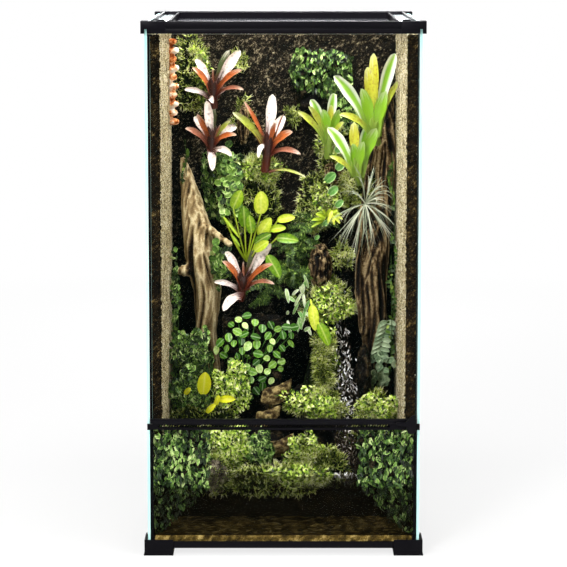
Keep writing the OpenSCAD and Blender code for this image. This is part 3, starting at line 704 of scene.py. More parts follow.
# Nearly black, with the dull shine of a wet film.
SOIL = weathered(
    "wet soil and stone", "0.0 #010101, 0.5 #080604, 0.8 #17120b, 1.0 #453a27", speck_mm=3.0,
    roughness=0.5, bump_mm=1.5)
# A grey pebble under a green-brown film.
STONE = weathered(
    "mossy stone", "0.0 #1d1913, 0.4 #4d463a, 0.75 #857b69, 1.0 #b9b08e", speck_mm=2.4,
    roughness=0.8, bump_mm=1.5)
# Barkless wood, bleached on its ridges and dark in its cracks.
WOOD = weathered(
    "weathered driftwood", "0.0 #150e07, 0.25 #4a3a24, 0.5 #846d49, 0.8 #b39c70, 1.0 #e2d1a6",
    speck_mm=2.4, roughness=0.7, bump_mm=1.2, speck=0.12)
# The same wood soaked: only the highest ridges are pale. Painted shade darkens it low in the tank.
DARK_WOOD = weathered(
    "wet driftwood", "0.0 #050302, 0.4 #20170e, 0.68 #4f3d27, 0.86 #866f4c, 1.0 #bda67a",
    speck_mm=2.4, roughness=0.6, bump_mm=1.2, speck=0.14, painted_shade_low=(280, 620, 0.4))
# Stripped bark that curled as it dried: ochre growth lines.
BARK = weathered(
    "cork bark shell", "0.0 #100b06, 0.35 #352917, 0.65 #5f4f30, 1.0 #a3925f", speck_mm=2.0,
    roughness=0.75, bump_mm=1.2, speck=0.18)
# The brown-green felt of old stems under the living shoots.
MOSS_BED = weathered(
    "moss bed", "0.0 #030402, 0.5 #0f1506, 1.0 #2f3c12", speck_mm=2.0, roughness=0.9, bump_mm=1.5)
# Orange flesh in zones, white at the growing edge.
ORANGE_SHELF = weathered(
    "shelf fungus", "0.0 #8e4014, 0.3 #e38a4a, 0.55 #f6c79c, 1.0 #fff6ea", speck_mm=9.0,
    roughness=0.5, bump_mm=0.6, speck=0.5)
print("materials so far:", len(bpy.data.materials))

# %% [markdown]
# ## Finishes of leaves
# Living leaves differ in age and light even on one plant, so each takes its colour from its own
# shade. A paler midrib, a pale rim and a waxy gloss are drawn by where a point lies on the leaf,
# which the UV map tells, and that keeps them right however the leaf is turned.

# %% Leaf skins
def from_midrib(tree, across):
    """How far a point lies from its leaf's middle line, 0 to 0.5, on both sides of the leaf"""
    wrapped = add(tree, "Math", {"operation": "FRACT"}, _0=across)
    middle = add(tree, "Math", {"operation": "SUBTRACT"}, _0=wrapped, _1=0.5)
    return add(tree, "Math", {"operation": "ABSOLUTE"}, _0=middle)


def leaf_skin(name, stops, rib, roughness, rim=0.0, grow=0.0):
    """Leaf colour by shade: rib is the midrib's colour and its share, rim lightens the edge, and
    grow lightens the leaf towards its tip, for paler young growth and as painted light where light
    comes through. Patches of cells 4 mm wide mottle it"""
    made, tree, surface = start(name)
    shade = add(tree, "Attribute", {"attribute_name": "shade"})
    place = add(tree, "UVMap", {"uv_map": "place"})
    split = add(tree, "SeparateXYZ", Vector=place)
    away = from_midrib(tree, split)
    ribs = add(tree, "MapRange", Value=away, From_Min=0.02, From_Max=0.1, To_Min=rib[1],
               To_Max=0.0)
    edge = add(tree, "MapRange", Value=away, From_Min=0.3, From_Max=0.46, To_Min=0.0, To_Max=rim)
    end = add(tree, "MapRange", Value=split.outputs["Y"], To_Min=-grow, To_Max=grow)
    where = add(tree, "TexCoord")
    cells = add(tree, "TexNoise", Vector=where.outputs["Object"], Scale=1 / (4 * MM), Detail=3.0)
    spread = add(tree, "MapRange", Value=cells, From_Min=0.3, From_Max=0.7, To_Min=-0.12,
                 To_Max=0.12)
    level = shade.outputs["Fac"]
    for change in (spread, edge, end):
        level = add(tree, "Math", {"operation": "ADD"}, _0=level, _1=change)
    skin = add(tree, "ValToRGB", {"stops": stops}, Fac=level)
    colour = add(tree, "MixRGB", Fac=ribs, Color1=skin, Color2=linear(rib[0]))
    bump = add(tree, "Bump", Height=ribs, Strength=0.4, Distance=0.3 * MM)
    feed(surface, Base_Color=colour, Normal=bump, Roughness=roughness, IOR=1.42,
         Specular_IOR_Level=0.3)
    return made


# Thin shoots, olive at the foot and almost yellow where the light comes through the tips.
MOSS = leaf_skin(
    "moss shoots", "0.0 #10180a, 0.25 #42571a, 0.5 #9db03c, 0.75 #dde67c, 1.0 #fbf9cc",
    rib=("#c9d670", 0.0), roughness=0.6, grow=0.42)
# New growth: bright and a little wet.
FRESH = leaf_skin(
    "fresh moss leaf", "0.0 #0a1405, 0.26 #3a6010, 0.52 #9cc032, 0.8 #dcec72, 1.0 #f6fab8",
    rib=("#b9d06c", 0.2), roughness=0.4, rim=0.12, grow=0.35)
# Small leathery leaves: old ones almost black-green, young ones pale with a pale rim.
FIG = leaf_skin(
    "creeping fig leaf", "0.0 #040803, 0.3 #152910, 0.55 #416426, 0.8 #86b04a, 1.0 #dcefa0",
    rib=("#86aa5c", 0.25), roughness=0.38, rim=0.3)
# Thick succulent leaves, so the glossiest.
ROUND = leaf_skin(
    "peperomia leaf", "0.0 #14300c, 0.4 #427420, 0.72 #86b342, 1.0 #dcefa2", rib=("#c9e2ac", 0.35),
    roughness=0.26, rim=0.2)
# Cream margins where the leaf has no green.
VARIEGATED = leaf_skin(
    "variegated leaf", "0.0 #2d6a1f, 0.45 #6aa04a, 0.7 #b9d090, 1.0 #eef4d8", rib=("#a9cc86", 0.3),
    roughness=0.38, rim=0.4)
# Thin matt fronds.
FERN = leaf_skin(
    "fern frond", "0.0 #0e1a06, 0.4 #2f4913, 0.75 #5f8029, 1.0 #a9be58", rib=("#587a30", 0.2),
    roughness=0.5)
# Waxed yellow-green blades whose edges are darker than the middle.
BROAD = leaf_skin(
    "broad waxy leaf", "0.0 #2f5412, 0.35 #6f991c, 0.7 #b3c92c, 1.0 #e6e85c",
    rib=("#e8f08e", 0.35), roughness=0.32, rim=-0.12)
# Little chlorophyll lets the yellow of these leaves through.
YELLOW = leaf_skin(
    "yellow leaf", "0.0 #9db814, 0.5 #d8dc1c, 1.0 #f4ee3a", rib=("#f4f08a", 0.3), roughness=0.35)
# Grey scales that drink from the air make these leaves silver and dull.
SILVER = leaf_skin(
    "air plant leaf", "0.0 #4c5640, 0.5 #96a082, 1.0 #e9ebd6", rib=("#c5cbb0", 0.2),
    roughness=0.55)
# A bloom of wax turns the green to grey.
GREY_LEAF = leaf_skin(
    "grey-green frond", "0.0 #2c3d29, 0.5 #66805c, 1.0 #b9cba4", rib=("#a5b894", 0.3),
    roughness=0.5, rim=0.2)
print("materials so far:", len(bpy.data.materials))

# %% [markdown]
# ## Skin of bromeliad leaves
# Their leaves change along their length: wine red or green in the cup, then the leaf's own
# colour, then pale at the tip. A plant has white, orange, dark and withered leaves at once, so
# the shade says which kind a leaf is, and one material holds all kinds of a species.

# %% Bromeliad leaves
KINDS = {"pale": 0.05, "white": 0.05, "orange": 0.25, "green": 0.25, "dark": 0.45, "spot": 0.45,
         "yellow": 0.65, "brown": 0.82, "pink": 0.82, "thin": 0.82, "cup": 0.95}


def strap_skin(name, kinds, foot, tip, rim, rim_share, mottle, mottled):
    """kinds is a ramp over the shade; foot and tip colour the ends, rim the edges, and mottle
    the blotches on kinds whose shade is near mottled, as its middle and reach"""
    made, tree, surface = start(name)
    shade = add(tree, "Attribute", {"attribute_name": "shade"})
    place = add(tree, "UVMap", {"uv_map": "place"})
    split = add(tree, "SeparateXYZ", Vector=place)
    kind = add(tree, "ValToRGB", {"stops": kinds}, Fac=shade.outputs["Fac"])
    kind.color_ramp.interpolation = "CONSTANT"
    pale = add(tree, "Math", {"operation": "LESS_THAN"}, _0=shade.outputs["Fac"], _1=0.15)
    blade = add(tree, "Math", {"operation": "LESS_THAN"}, _0=shade.outputs["Fac"], _1=0.88)
    # Veins run along the leaf: nine across it and about one along. They make the ends ragged.
    stripes = add(tree, "Mapping", Vector=place, Scale=(9, 1.2, 1))
    veins = add(tree, "TexNoise", Vector=stripes, Scale=1.6, Detail=3.0)
    ragged = add(tree, "MapRange", Value=veins, From_Min=0.3, From_Max=0.7, To_Min=-0.22,
                 To_Max=0.22)
    along = add(tree, "Math", {"operation": "ADD"}, _0=split.outputs["Y"], _1=ragged)
    low = add(tree, "MapRange", Value=along, From_Min=0.16, From_Max=0.46, To_Min=1.0, To_Max=0.0)
    end = add(tree, "MapRange", Value=along, From_Min=0.78, From_Max=1.05, To_Min=0.0, To_Max=0.5)
    ended = add(tree, "Math", {"operation": "MULTIPLY"}, _0=end, _1=blade)
    edge = add(tree, "MapRange", Value=from_midrib(tree, split), From_Min=0.14, From_Max=0.32,
               To_Min=0.0, To_Max=rim_share)
    edged = add(tree, "Math", {"operation": "MULTIPLY"}, _0=edge, _1=pale)
    where = add(tree, "TexCoord")
    blotch = add(tree, "TexNoise", Vector=where.outputs["Object"], Scale=1 / (5 * MM), Detail=3.0)
    spots = add(tree, "MapRange", Value=blotch, From_Min=0.5, From_Max=0.68, To_Min=0.0,
                To_Max=0.55)
    chosen = add(tree, "Math", {"operation": "COMPARE"}, _0=shade.outputs["Fac"], _1=mottled[0],
                 _2=mottled[1])
    worn = add(tree, "Math", {"operation": "MULTIPLY"}, _0=spots, _1=chosen)
    colour = kind
    for share, code in ((worn, mottle), (edged, rim), (low, foot), (ended, tip)):
        colour = add(tree, "MixRGB", Fac=share, Color1=colour, Color2=linear(code))
    bump = add(tree, "Bump", Height=veins, Strength=0.3, Distance=0.4 * MM)
    feed(surface, Base_Color=colour, Normal=bump, Roughness=0.34, IOR=1.42)
    return made


# Tough waxy straps of the red species, and the lime one with its brown-spotted yellow leaves.
RED_LEAF = strap_skin(
    "red bromeliad leaf",
    "0.0 #fff5ec, 0.2 #b8602a, 0.4 #44522a, 0.6 #a3ae3a, 0.75 #a86a50, 0.9 #2c120c",
    foot="#521d10", tip="#f8f0da", rim="#e4b8a6", rim_share=0.25, mottle="#521d10",
    mottled=(0.5, 0.5))
LIME_LEAF = strap_skin(
    "lime bromeliad leaf",
    "0.0 #86b82e, 0.2 #8cbc2c, 0.4 #c8c63c, 0.6 #c6d048, 0.75 #cf9648, 0.9 #86a03c",
    foot="#86a040", tip="#e6edc4", rim="#f4f8e6", rim_share=0.95, mottle="#8f6420",
    mottled=(0.55, 0.15))
print("kinds of bromeliad leaf:", sorted(KINDS))

# %% [markdown]
# ## Carved solids: cork, sand, soil, wood and bark
# The plain solid is copied, voxel remeshed so that it has even small faces, and each point is
# pressed in along its normal by a noise of a real size. How deep it went is kept as an
# attribute, which the weathered materials read. Sculpting by hand would do as well, but a
# recipe gives the same grain on every piece and can be changed by one number.

# %% Carving
def carve(piece, voxel, depth, recipe):
    """recipe gives a value from 0, deep, to 1, untouched, for a point in millimetres"""
    only(piece)
    even = piece.modifiers.new("Even", "REMESH")
    even.mode = "VOXEL"
    even.voxel_size = voxel
    bpy.ops.object.modifier_apply(modifier="Even")
    mesh = piece.data
    values = np.array([recipe(v.co / MM) for v in mesh.vertices], np.float32).clip(0, 1)
    normals = np.array([v.normal for v in mesh.vertices])
    points = np.array([v.co for v in mesh.vertices])
    points -= normals * ((1 - values) * depth)[:, None]
    mesh.vertices.foreach_set("co", points.ravel().astype(np.float32))
    relief = mesh.attributes.new("relief", "FLOAT", "POINT")
    relief.data.foreach_set("value", values)
    for face in mesh.polygons:
        face.use_smooth = True
    mesh.update()
    print(piece.name, len(mesh.polygons), "faces")
    return piece


def carved(node, voxel, depth, recipe, material, ending="_carved"):
    """A carved copy of a node in its material"""
    piece = carve(copy_of(node, ending), voxel, depth, recipe)
    piece.data.materials.append(material)
    return piece


def granules(size):
    """Pressed grains of about this size in mm: raised middles and dark seams, with swells of
    26 mm and pits of 6 mm over them"""
    def recipe(p):
        near = noise.voronoi(p / size)[0]
        return 0.05 + 0.75 * min(1.0, (near[1] - near[0]) * 1.7) + 0.3 * noise.noise(p / 26) \
            + 0.4 * noise.noise(p / 6)
    return recipe


def lumpy(size):
    """Soft lumps of about this size with smaller ones on them, as on soil, sand or moss"""
    def recipe(p):
        return 0.5 + 0.75 * noise.fractal(p / size, 0.8, 2.1, 4)
    return recipe


def along_grain(width, length, rough=0.25, cracks=2.1):
    """Ridges up the wood, about width apart and length long in mm, that sway over 70 mm, with
    cracks between them; rough is the fine relief, and cracks how sharp they are"""
    def recipe(p):
        sway = 0.9 * noise.noise(Vector((p.x / 70, p.y / 70, p.z / 110)))
        q = Vector((p.x / width + 1.5 * sway, p.y / width, p.z / length))
        ridge = 1.05 - abs(noise.fractal(q, 0.7, 2.0, 3)) * cracks
        return ridge + rough * noise.noise(p / 5)
    return recipe


def curved_grain(width):
    """Growth lines that run round a bark shell, over a relief of 7 mm and of 2.5 mm"""
    def recipe(p):
        line = math.sin((p.z + 0.35 * p.x) / width + 4 * noise.noise(p / 16))
        return 0.6 + 0.16 * line + 0.5 * noise.noise(p / 7) + 0.3 * noise.noise(p / 2.5)
    return recipe

# %% [markdown]
# Voxels and depths are in millimetres. The voxel is a little smaller than the finest relief that
# still shows, since halving it makes four times as many faces. The side boards' front edges get a
# darker finish of their own, as painted shade.

# %% Carve the solids
SHADED_EDGE_FACING = -0.6
for node, voxel_mm, depth_mm, recipe, material, slot in (
        ("background_panel", 3.2, 2.2, granules(5), DARK_CORK, "dark_cork"),
        ("side_panel_left", 3.5, 2, granules(5), TAN_CORK, "tan_cork"),
        ("side_panel_right", 3.5, 2, granules(5), TAN_CORK, "tan_cork"),
        ("sand_bed", 4, 2, lumpy(9), SAND, "sand"),
        ("planting_mound", 5, 7, lumpy(22), SOIL, "soil"),
        ("driftwood_left", 2.6, 4, along_grain(15, 520, 0.1, 1.35), WOOD, "driftwood"),
        ("driftwood_right", 2.6, 4, along_grain(12, 300, 0.15, 1.6), DARK_WOOD, "driftwood"),
        ("bark_shells", 1.8, 1.5, curved_grain(2.0), BARK, "bark"),
        ("shelf_fungus", 2, 1.2, lumpy(14), ORANGE_SHELF, "fungus")):
    piece = carved(node, voxel_mm * MM, depth_mm * MM, recipe, material)
    if material == TAN_CORK:
        piece.data.materials.append(SHADED_CORK_EDGE)
        # Faces that look to the front get the darker edge finish: painted shade.
        for face in piece.data.polygons:
            face.material_index = 1 if face.normal.y < SHADED_EDGE_FACING else 0
    settle(piece, "tank", slot, node)

# %% [markdown]
# Stones and stumps that the plain solids leave out are round blocks, carved the same way. They
# start as an ico sphere, whose triangles are even all round.

# %% Stones and stumps
BLOCK_VOXEL = 2.5 * MM
BLOCK_RELIEF = 6 * MM


def block(name, middle, half, material, slot, recipe):
    """A rounded block: middle and half sizes are in mm"""
    bpy.ops.object.select_all(action="DESELECT")
    bpy.ops.mesh.primitive_ico_sphere_add(subdivisions=3, radius=1.0)
    piece = bpy.context.object
    piece.name = name
    bpy.ops.transform.resize(value=tuple(h * MM for h in half))
    bpy.ops.transform.translate(value=tuple(m * MM for m in middle))
    bpy.ops.object.transform_apply(location=True, rotation=True, scale=True)
    carve(piece, BLOCK_VOXEL, BLOCK_RELIEF, recipe)
    piece.data.materials.append(material)
    settle(piece, "tank", slot)


block("pool_stone", (-116, -104, 104), (24, 20, 32), STONE, "soil", lumpy(16))
block("wall_stump", (92, 164, 600), (20, 30, 26), DARK_WOOD, "driftwood", along_grain(9, 60))
block("hanging_root", (-72, 162, 684), (12, 18, 38), DARK_WOOD, "driftwood", along_grain(8, 70))
block("low_stump", (66, 132, 432), (22, 30, 44), DARK_WOOD, "driftwood", along_grain(9, 80))
block("fall_stone", (142, 40, 250), (16, 34, 60), SOIL, "soil", lumpy(14))

# %% [markdown]
# ## Water
# The pool is clear with a brown tint, so what lies in it looks darker. The fall is a film with
# many bright drops: water that falls over roots breaks up, and it is the drops that shine, so
# their white is drawn as a painted glint. A fluid simulation could make them, but small leaf
# shapes laid along the fall look the same here.

# %% Pool and fall
dress("pool_water", clear("pond water", "#0e0a03", 0.5, 0.03))
dress("water_trickle", clear("running water", "#14120c", 0.4, 0.05))


def foam_and_painted_glints():
    """Foam and drops: white with brown and dark patches. The white of the drops is a painted glint
    """
    made, tree, surface = start("foam and painted glints")
    shade = add(tree, "Attribute", {"attribute_name": "shade"})
    colour = add(tree, "ValToRGB", {"stops": "0.25 #2c2015, 0.5 #8d8578, 0.8 #ffffff"},
                 Fac=shade.outputs["Fac"])
    feed(surface, Base_Color=colour, Roughness=0.08)
    return made


# The corners of the room between the panes and the cork, which the planting may not leave.
HABITAT = (np.array([-0.1998, -0.2196, 0.019]), np.array([0.1998, 0.1898, 0.846]))
TO_VIEWER = -0.35
rng = np.random.default_rng(5)
drops = Growth()
places, outward = surface_points("water_trickle", 900, rng, lambda m, n: n[:, 1] < TO_VIEWER)
places = places + outward * 1.5 * MM + rng.normal(0, 3 * MM, places.shape)
# Foam floats where the fall meets the pool. Drops are 3 to 11 mm long and about 1 mm thick.
foam, foam_out = clump((98, -104, 112), (26, 20, 3), 120, rng)
places, outward = np.concatenate([places, foam]), np.concatenate([outward, foam_out])
down = np.tile([0.0, -0.25, -1.0], (len(places), 1)) + rng.normal(0, 0.5, (len(places), 3))
size = np.stack([rng.uniform(3, 11, len(places)), rng.uniform(0.8, 2.4, len(places)),
                 rng.uniform(0.8, 2.0, len(places))], 1) * MM
spray = rng.beta(1.2, 1.0, len(places))
# Below 210 mm the fall runs in the shade, so its drops are darker there.
spray[:-len(foam)] *= ((places[:-len(foam), 2] - 0.09) / 0.12).clip(0.45, 1)
drops.copies(LEAF, places, axes_for(down, outward, size), spray)
settle(drops.build("falling_drops", foam_and_painted_glints(), HABITAT), "tank", "water")

# %% [markdown]
# ## Moss
# A cushion is a dark bed with thousands of short shoots standing out of it. A fur of hair
# strands would be quick to make, but hair is not exported, so each shoot is a closed spike.

# %% Moss shoots
SHOOT_LENGTH = 10
SHOOT_WIDTH = 2.2


def shoots(growth, places, outward, rng):
    """Three needles at every place, spread about the outward direction"""
    places, push = ruffle(places, outward, 16 * MM, 9 * MM)
    for _ in range(3):
        lean = outward + rng.normal(0, 0.6, places.shape) + 0.3 * UP
        scale = np.stack([rng.uniform(0.5, 1.3, len(places)) * SHOOT_LENGTH,
                          rng.uniform(0.7, 1.2, len(places)) * SHOOT_WIDTH,
                          rng.uniform(0.7, 1.2, len(places)) * SHOOT_WIDTH], 1) * MM
        across = rng.normal(0, 1, places.shape)
        growth.copies(NEEDLE, places, axes_for(lean, across, scale),
                      (rng.beta(2.2, 2.2, len(places)) + 0.7 * push).clip(0, 1))


rng = np.random.default_rng(11)
moss = Growth()
places, outward = surface_points("moss_cushions", 6000, rng)
# One gap beside the fall stays bare and dark.
bare = (np.abs(places[:, 0] - 0.042) < 0.016) & (np.abs(places[:, 2] - 0.262) < 0.07)
shoots(moss, places[~bare], outward[~bare], rng)
WALL_MOSS = [
    ((-150, 178, 770), (12, 12, 58), 420), ((-46, 172, 604), (42, 18, 18), 620),
    ((-80, 184, 796), (12, 5, 16), 90), ((-72, 184, 700), (16, 5, 30), 220),
    ((18, 184, 700), (12, 5, 14), 110), ((70, 172, 540), (18, 14, 44), 520),
    ((86, 160, 650), (24, 12, 26), 420), ((118, 158, 580), (22, 12, 24), 420),
    ((104, 150, 452), (18, 10, 22), 200), ((84, 130, 366), (34, 20, 30), 900),
    ((70, 84, 262), (16, 20, 62), 800), ((60, 30, 205), (44, 20, 20), 800),
    ((160, 20, 196), (34, 18, 26), 600), ((30, -104, 112), (52, 16, 10), 500),
    ((52, -72, 130), (40, 18, 28), 700),
]
for places, outward in clumps(WALL_MOSS, rng):
    shoots(moss, places, outward, rng)
settle(moss.build("moss_shoots", MOSS, HABITAT), "tank", "moss")
settle(carved("moss_cushions", 4 * MM, 5 * MM, lumpy(12), MOSS_BED), "tank", "moss",
       "moss_cushions")

# %% [markdown]
# Fresh moss has tiny pointed leaves instead of shoots. It grows in clumps on the wall, on the
# mound and beside the bark, where it hides the edges of the cushions.

# %% Fresh moss
rng = np.random.default_rng(12)
fresh = Growth()
FRESH_CLUMPS = [
    ((-90, 24, 240), (30, 22, 36), 640), ((-88, -52, 146), (34, 24, 36), 820),
    ((40, -64, 146), (36, 20, 20), 320), ((36, 10, 214), (34, 18, 20), 240),
    ((74, 0, 206), (18, 14, 18), 180), ((164, 0, 206), (32, 14, 20), 300),
    ((84, 120, 366), (34, 24, 30), 300), ((78, 84, 300), (12, 14, 40), 220),
    ((108, 168, 560), (20, 14, 24), 150), ((-44, 156, 604), (38, 10, 14), 200),
    ((72, 152, 545), (14, 10, 38), 90), ((86, 144, 652), (20, 10, 20), 130),
    ((-150, 168, 780), (9, 8, 50), 110), ((20, -112, 110), (60, 12, 10), 260),
    ((-94, 4, 236), (24, 10, 26), 170),
]
for places, outward in clumps(FRESH_CLUMPS, rng):
    places, _ = ruffle(places, outward, 18 * MM, 14 * MM)
    scatter(fresh, LEAF, places, outward, rng, (5, 13), hang=0.1, width=0.42, spread=0.8,
            shades=(1.3, 1.0))
settle(fresh.build("fresh_moss", FRESH, HABITAT), "tank", "moss")

# %% [markdown]
# ## Creeping fig, ivy and peperomia
# Fig leaves hang like tiles, tip down, and the two mats on the front glass run out to a point
# at the bottom. The mats could be cut in the solids, but a rule for where leaves grow gives
# them a softer outline. Clumps of rounder ivy leaves grow between them.

# %% Fig and ivy
WATER_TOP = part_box("pool_water")[1].z
TANK = (np.array([-0.2205, -0.2203, 0.02]), np.array([0.2205, 0.1898, 0.86]))
FRONT_GLASS = -0.19


def in_drape(places):
    """The front mats narrow towards the glass corners, and the patch on the wall slants"""
    x, y, z = places[:, 0], places[:, 1], places[:, 2]
    # In front, leaves grow more than 124 mm from the middle, and further out below 112 mm.
    edge = 0.124 + np.clip(0.112 - z, 0, 1) * 0.95
    front = np.abs(x) > edge
    # On the wall they grow up to 690 mm, and in a band between about 735 and 830 mm.
    slant = (z > 0.735 - 0.3 * (x - 0.07)) & (z < 0.83 - 0.3 * (x - 0.04))
    high = (z < 0.69) | slant & (z > 0.72 + 0.9 * (0.04 - x).clip(0, 1))
    return np.where(y < FRONT_GLASS, front, high)


rng = np.random.default_rng(21)
fig = Growth()
places, outward = surface_points("creeping_fig", 5200, rng, lambda m, n: n[:, 1] < 0.5)
places, _ = ruffle(places, outward, 24 * MM, 9 * MM)
keep = in_drape(places)
places, outward = places[keep], outward[keep]
# Leaves under water are toned darker: painted shade for the light that the brown water takes.
under = places[:, 2] < WATER_TOP
for part, tone in ((under, -0.15), (~under, 0.0)):
    scatter(fig, LEAF, places[part], outward[part], rng, (9, 15), hang=1.5, spread=0.55,
            width=0.45, shades=(0.75, 1.0), tone=tone)
FIG_CLUMPS = [
    ((-164, 50, 292), (34, 24, 44), 420), ((-166, 22, 232), (36, 18, 34), 380),
    ((-40, -66, 146), (22, 14, 30), 260), ((116, 168, 700), (24, 12, 36), 220),
    ((-106, 150, 600), (22, 10, 34), 130), ((-60, 168, 600), (30, 8, 24), 90),
    ((-112, 108, 438), (18, 12, 34), 120), ((-192, 90, 400), (6, 20, 70), 70),
]
for places, outward in clumps(FIG_CLUMPS, rng):
    scatter(fig, LEAF, places, outward, rng, (8, 13), hang=0.9, spread=0.6, width=0.75,
            shades=(1.1, 1.3))
IVY_CLUMPS = [((-98, 134, 584), (20, 6, 68), 80), ((-112, 100, 452), (16, 8, 30), 26)]
for places, outward in clumps(IVY_CLUMPS, rng):
    scatter(fig, ROUND_LEAF, places, outward, rng, (11, 18), hang=0.8, face=0.8, width=0.8,
            shades=(2.2, 1.6))
settle(fig.build("creeping_fig_leaves", FIG, TANK), "tank", "dark_leaf")

# %% [markdown]
# Peperomia leaves are round, thick and glossy, and each keeps clear of the next. Random places
# that come too near to an earlier one are therefore dropped, which spaces the leaves evenly
# without a grid. A second, darker layer behind them closes the gaps.

# %% Peperomia
LEAF_SPACING = 12.5 * MM
PLANT_HEART = np.array([-0.054, 0.09, 0.27])
PLANT_ROOT = np.array([-70, 70, 214.0])
rng = np.random.default_rng(22)
peperomia = Growth()
tries, _ = clump((-50, 46, 294), (60, 24, 66), 1200, rng)
spots = []
for spot in tries:
    if all((spot[0] - s[0]) ** 2 + (spot[2] - s[2]) ** 2 > LEAF_SPACING ** 2 for s in spots):
        spots.append(spot)
spots = np.array(spots)
outward = unit(spots - PLANT_HEART)
scatter(peperomia, ROUND_LEAF, spots, outward, rng, (13, 19), hang=0.5, face=0.8, spread=0.4,
        width=0.8, shades=(1.8, 1.8))
scatter(peperomia, ROUND_LEAF, spots[::2] + [0, 16 * MM, -5 * MM], outward[::2], rng, (11, 17),
        hang=0.6, face=0.3, spread=0.7, shades=(1.2, 3.0))
for spot in spots[::2] / MM:
    bend(peperomia, STALK, PLANT_ROOT, (PLANT_ROOT + spot) / 2 + [0, -4, 14], spot, 1.6, 1.6,
         0.25, hollow=0)
settle(peperomia.build("peperomia_leaves", ROUND, HABITAT), "tank", "light_leaf")
# The solids of both plants become the stems behind their leaves, in the near-black soil finish:
# painted shade in the depth of the foliage.
for node, slot in (("creeping_fig", "dark_leaf"), ("peperomia", "light_leaf")):
    bed = carved(node, 5 * MM, 9 * MM, lumpy(14), SOIL, "_shaded_stems")
    settle(bed, "tank", slot, node)

# %% [markdown]
# ## Bromeliads
# A bromeliad is a cup of stiff straps: the young ones stand, the old ones arch over. One leaf
# could be turned round the crown many times, but the photograph shows every leaf, so each is
# placed by where it leaves the cup and by its tip. All of them start low inside the cup.

# %% Rosettes
NEAR_KINDS = ("orange", "green", "yellow", "thin", "pink", "brown")
DROOPING = -15


def rosette(growth, crown, leaves, stem, wide):
    """leaves are (kind, foot, tip, width): foot and tip are (x, z) from the crown, in mm; wide
    widens them all, and stem is where the cup starts, from the crown"""
    crown = np.array(crown, float)
    for i, (kind, foot, tip, width) in enumerate(leaves):
        # Near leaves end 14 to 29 mm before the crown, and far ones from 8 mm behind it.
        near = kind in NEAR_KINDS or tip[1] < DROOPING
        forward = (14 + 5 * (i % 4)) if near else (-8 + 6 * (i % 3))
        low = crown + [0.25 * foot[0], -2 if near else 3, min(-12, foot[1] - 6)]
        end = crown + [tip[0], -forward, tip[1]]
        reach = np.array([tip[0] - foot[0], 0, tip[1] - foot[1]])
        rise = 0.24 * abs(reach[0]) if tip[1] > DROOPING else 14
        bow = crown + [foot[0], -0.6 * forward, foot[1]] + 0.42 * reach + [0, 0, rise]
        turn = 0.3 * (-1) ** i
        bend(growth, STRAP, low, bow, end, wide * width, 1.2, KINDS[kind],
             face=(turn, -1, 0.5 if near else 0.2), profile=strap_width, hollow=0.2,
             curl=0.06 if near else -0.1)
    # Eight short straps round the middle close the cup.
    for k in range(8):
        spin = 2 * math.pi * (k + 0.5) / 8
        out = np.array([math.cos(spin), math.sin(spin), 0])
        bend(growth, STRAP, crown + np.array(stem) + out * 4, crown - [0, 0, 10] + out * 8,
             crown + out * 11 + [0, 0, 14 + 7 * (k % 2)], 14, 1.4, KINDS["cup"],
             face=-out + 0.05, profile=strap_width, hollow=0.1)


# %% [markdown]
# Four red plants and three lime ones grow on the wall, read from the photograph. A plant is its
# crown, its leaves and its stem.

# %% Red and lime bromeliads
PINK = [("pale", (-4, 18), (-31, 53), 13), ("dark", (4, 18), (29, 69), 13),
        ("pale", (6, 16), (49, 68), 17), ("orange", (3, 4), (52, 36), 10),
        ("orange", (0, 5), (-36, 39), 10), ("thin", (1, 11), (1, 39), 4),
        ("pale", (-12, -11), (-51, -1), 9), ("brown", (11, 4), (55, 1), 7),
        ("pale", (11, -9), (25, 4), 6)]
RED_PLANTS = [
    ((-125, 130, 750), PINK + [("pale", (-11, -18), (1, -23), 9)], (0, 8, -34)),
    ((-129, 126, 665), [("dark", (4, 7), (5, 56), 10), ("pale", (0, 9), (-30, 36), 15),
                        ("pale", (0, 7), (-7, 65), 15), ("orange", (-1, -2), (-23, 44), 9),
                        ("yellow", (9, 7), (36, 31), 7), ("pale", (11, 5), (46, 18), 14),
                        ("orange", (5, -4), (46, 6), 9), ("brown", (-9, -2), (-44, 18), 10),
                        ("pale", (-2, -20), (3, -58), 14), ("pale", (5, -21), (38, -31), 11),
                        ("thin", (9, 5), (18, 25), 3)], (0, 8, -36)),
    ((-26, 124, 655), [("pale", (-2, 27), (7, 86), 18), ("pale", (4, 9), (28, 48), 17),
                       ("orange", (0, 4), (11, 39), 8), ("orange", (4, -2), (42, 22), 14),
                       ("orange", (-4, 2), (-44, 75), 7), ("yellow", (-5, 0), (-64, 56), 12),
                       ("thin", (14, 30), (26, 53), 3), ("pink", (7, -14), (56, -17), 9),
                       ("yellow", (-2, -46), (66, -60), 5), ("pale", (-12, 5), (-18, -24), 9)],
     (-8, 6, -52)),
    ((-71, 54, 416), PINK + [("pale", (-5, -21), (-34, -48), 16)], (-6, 14, -34)),
]
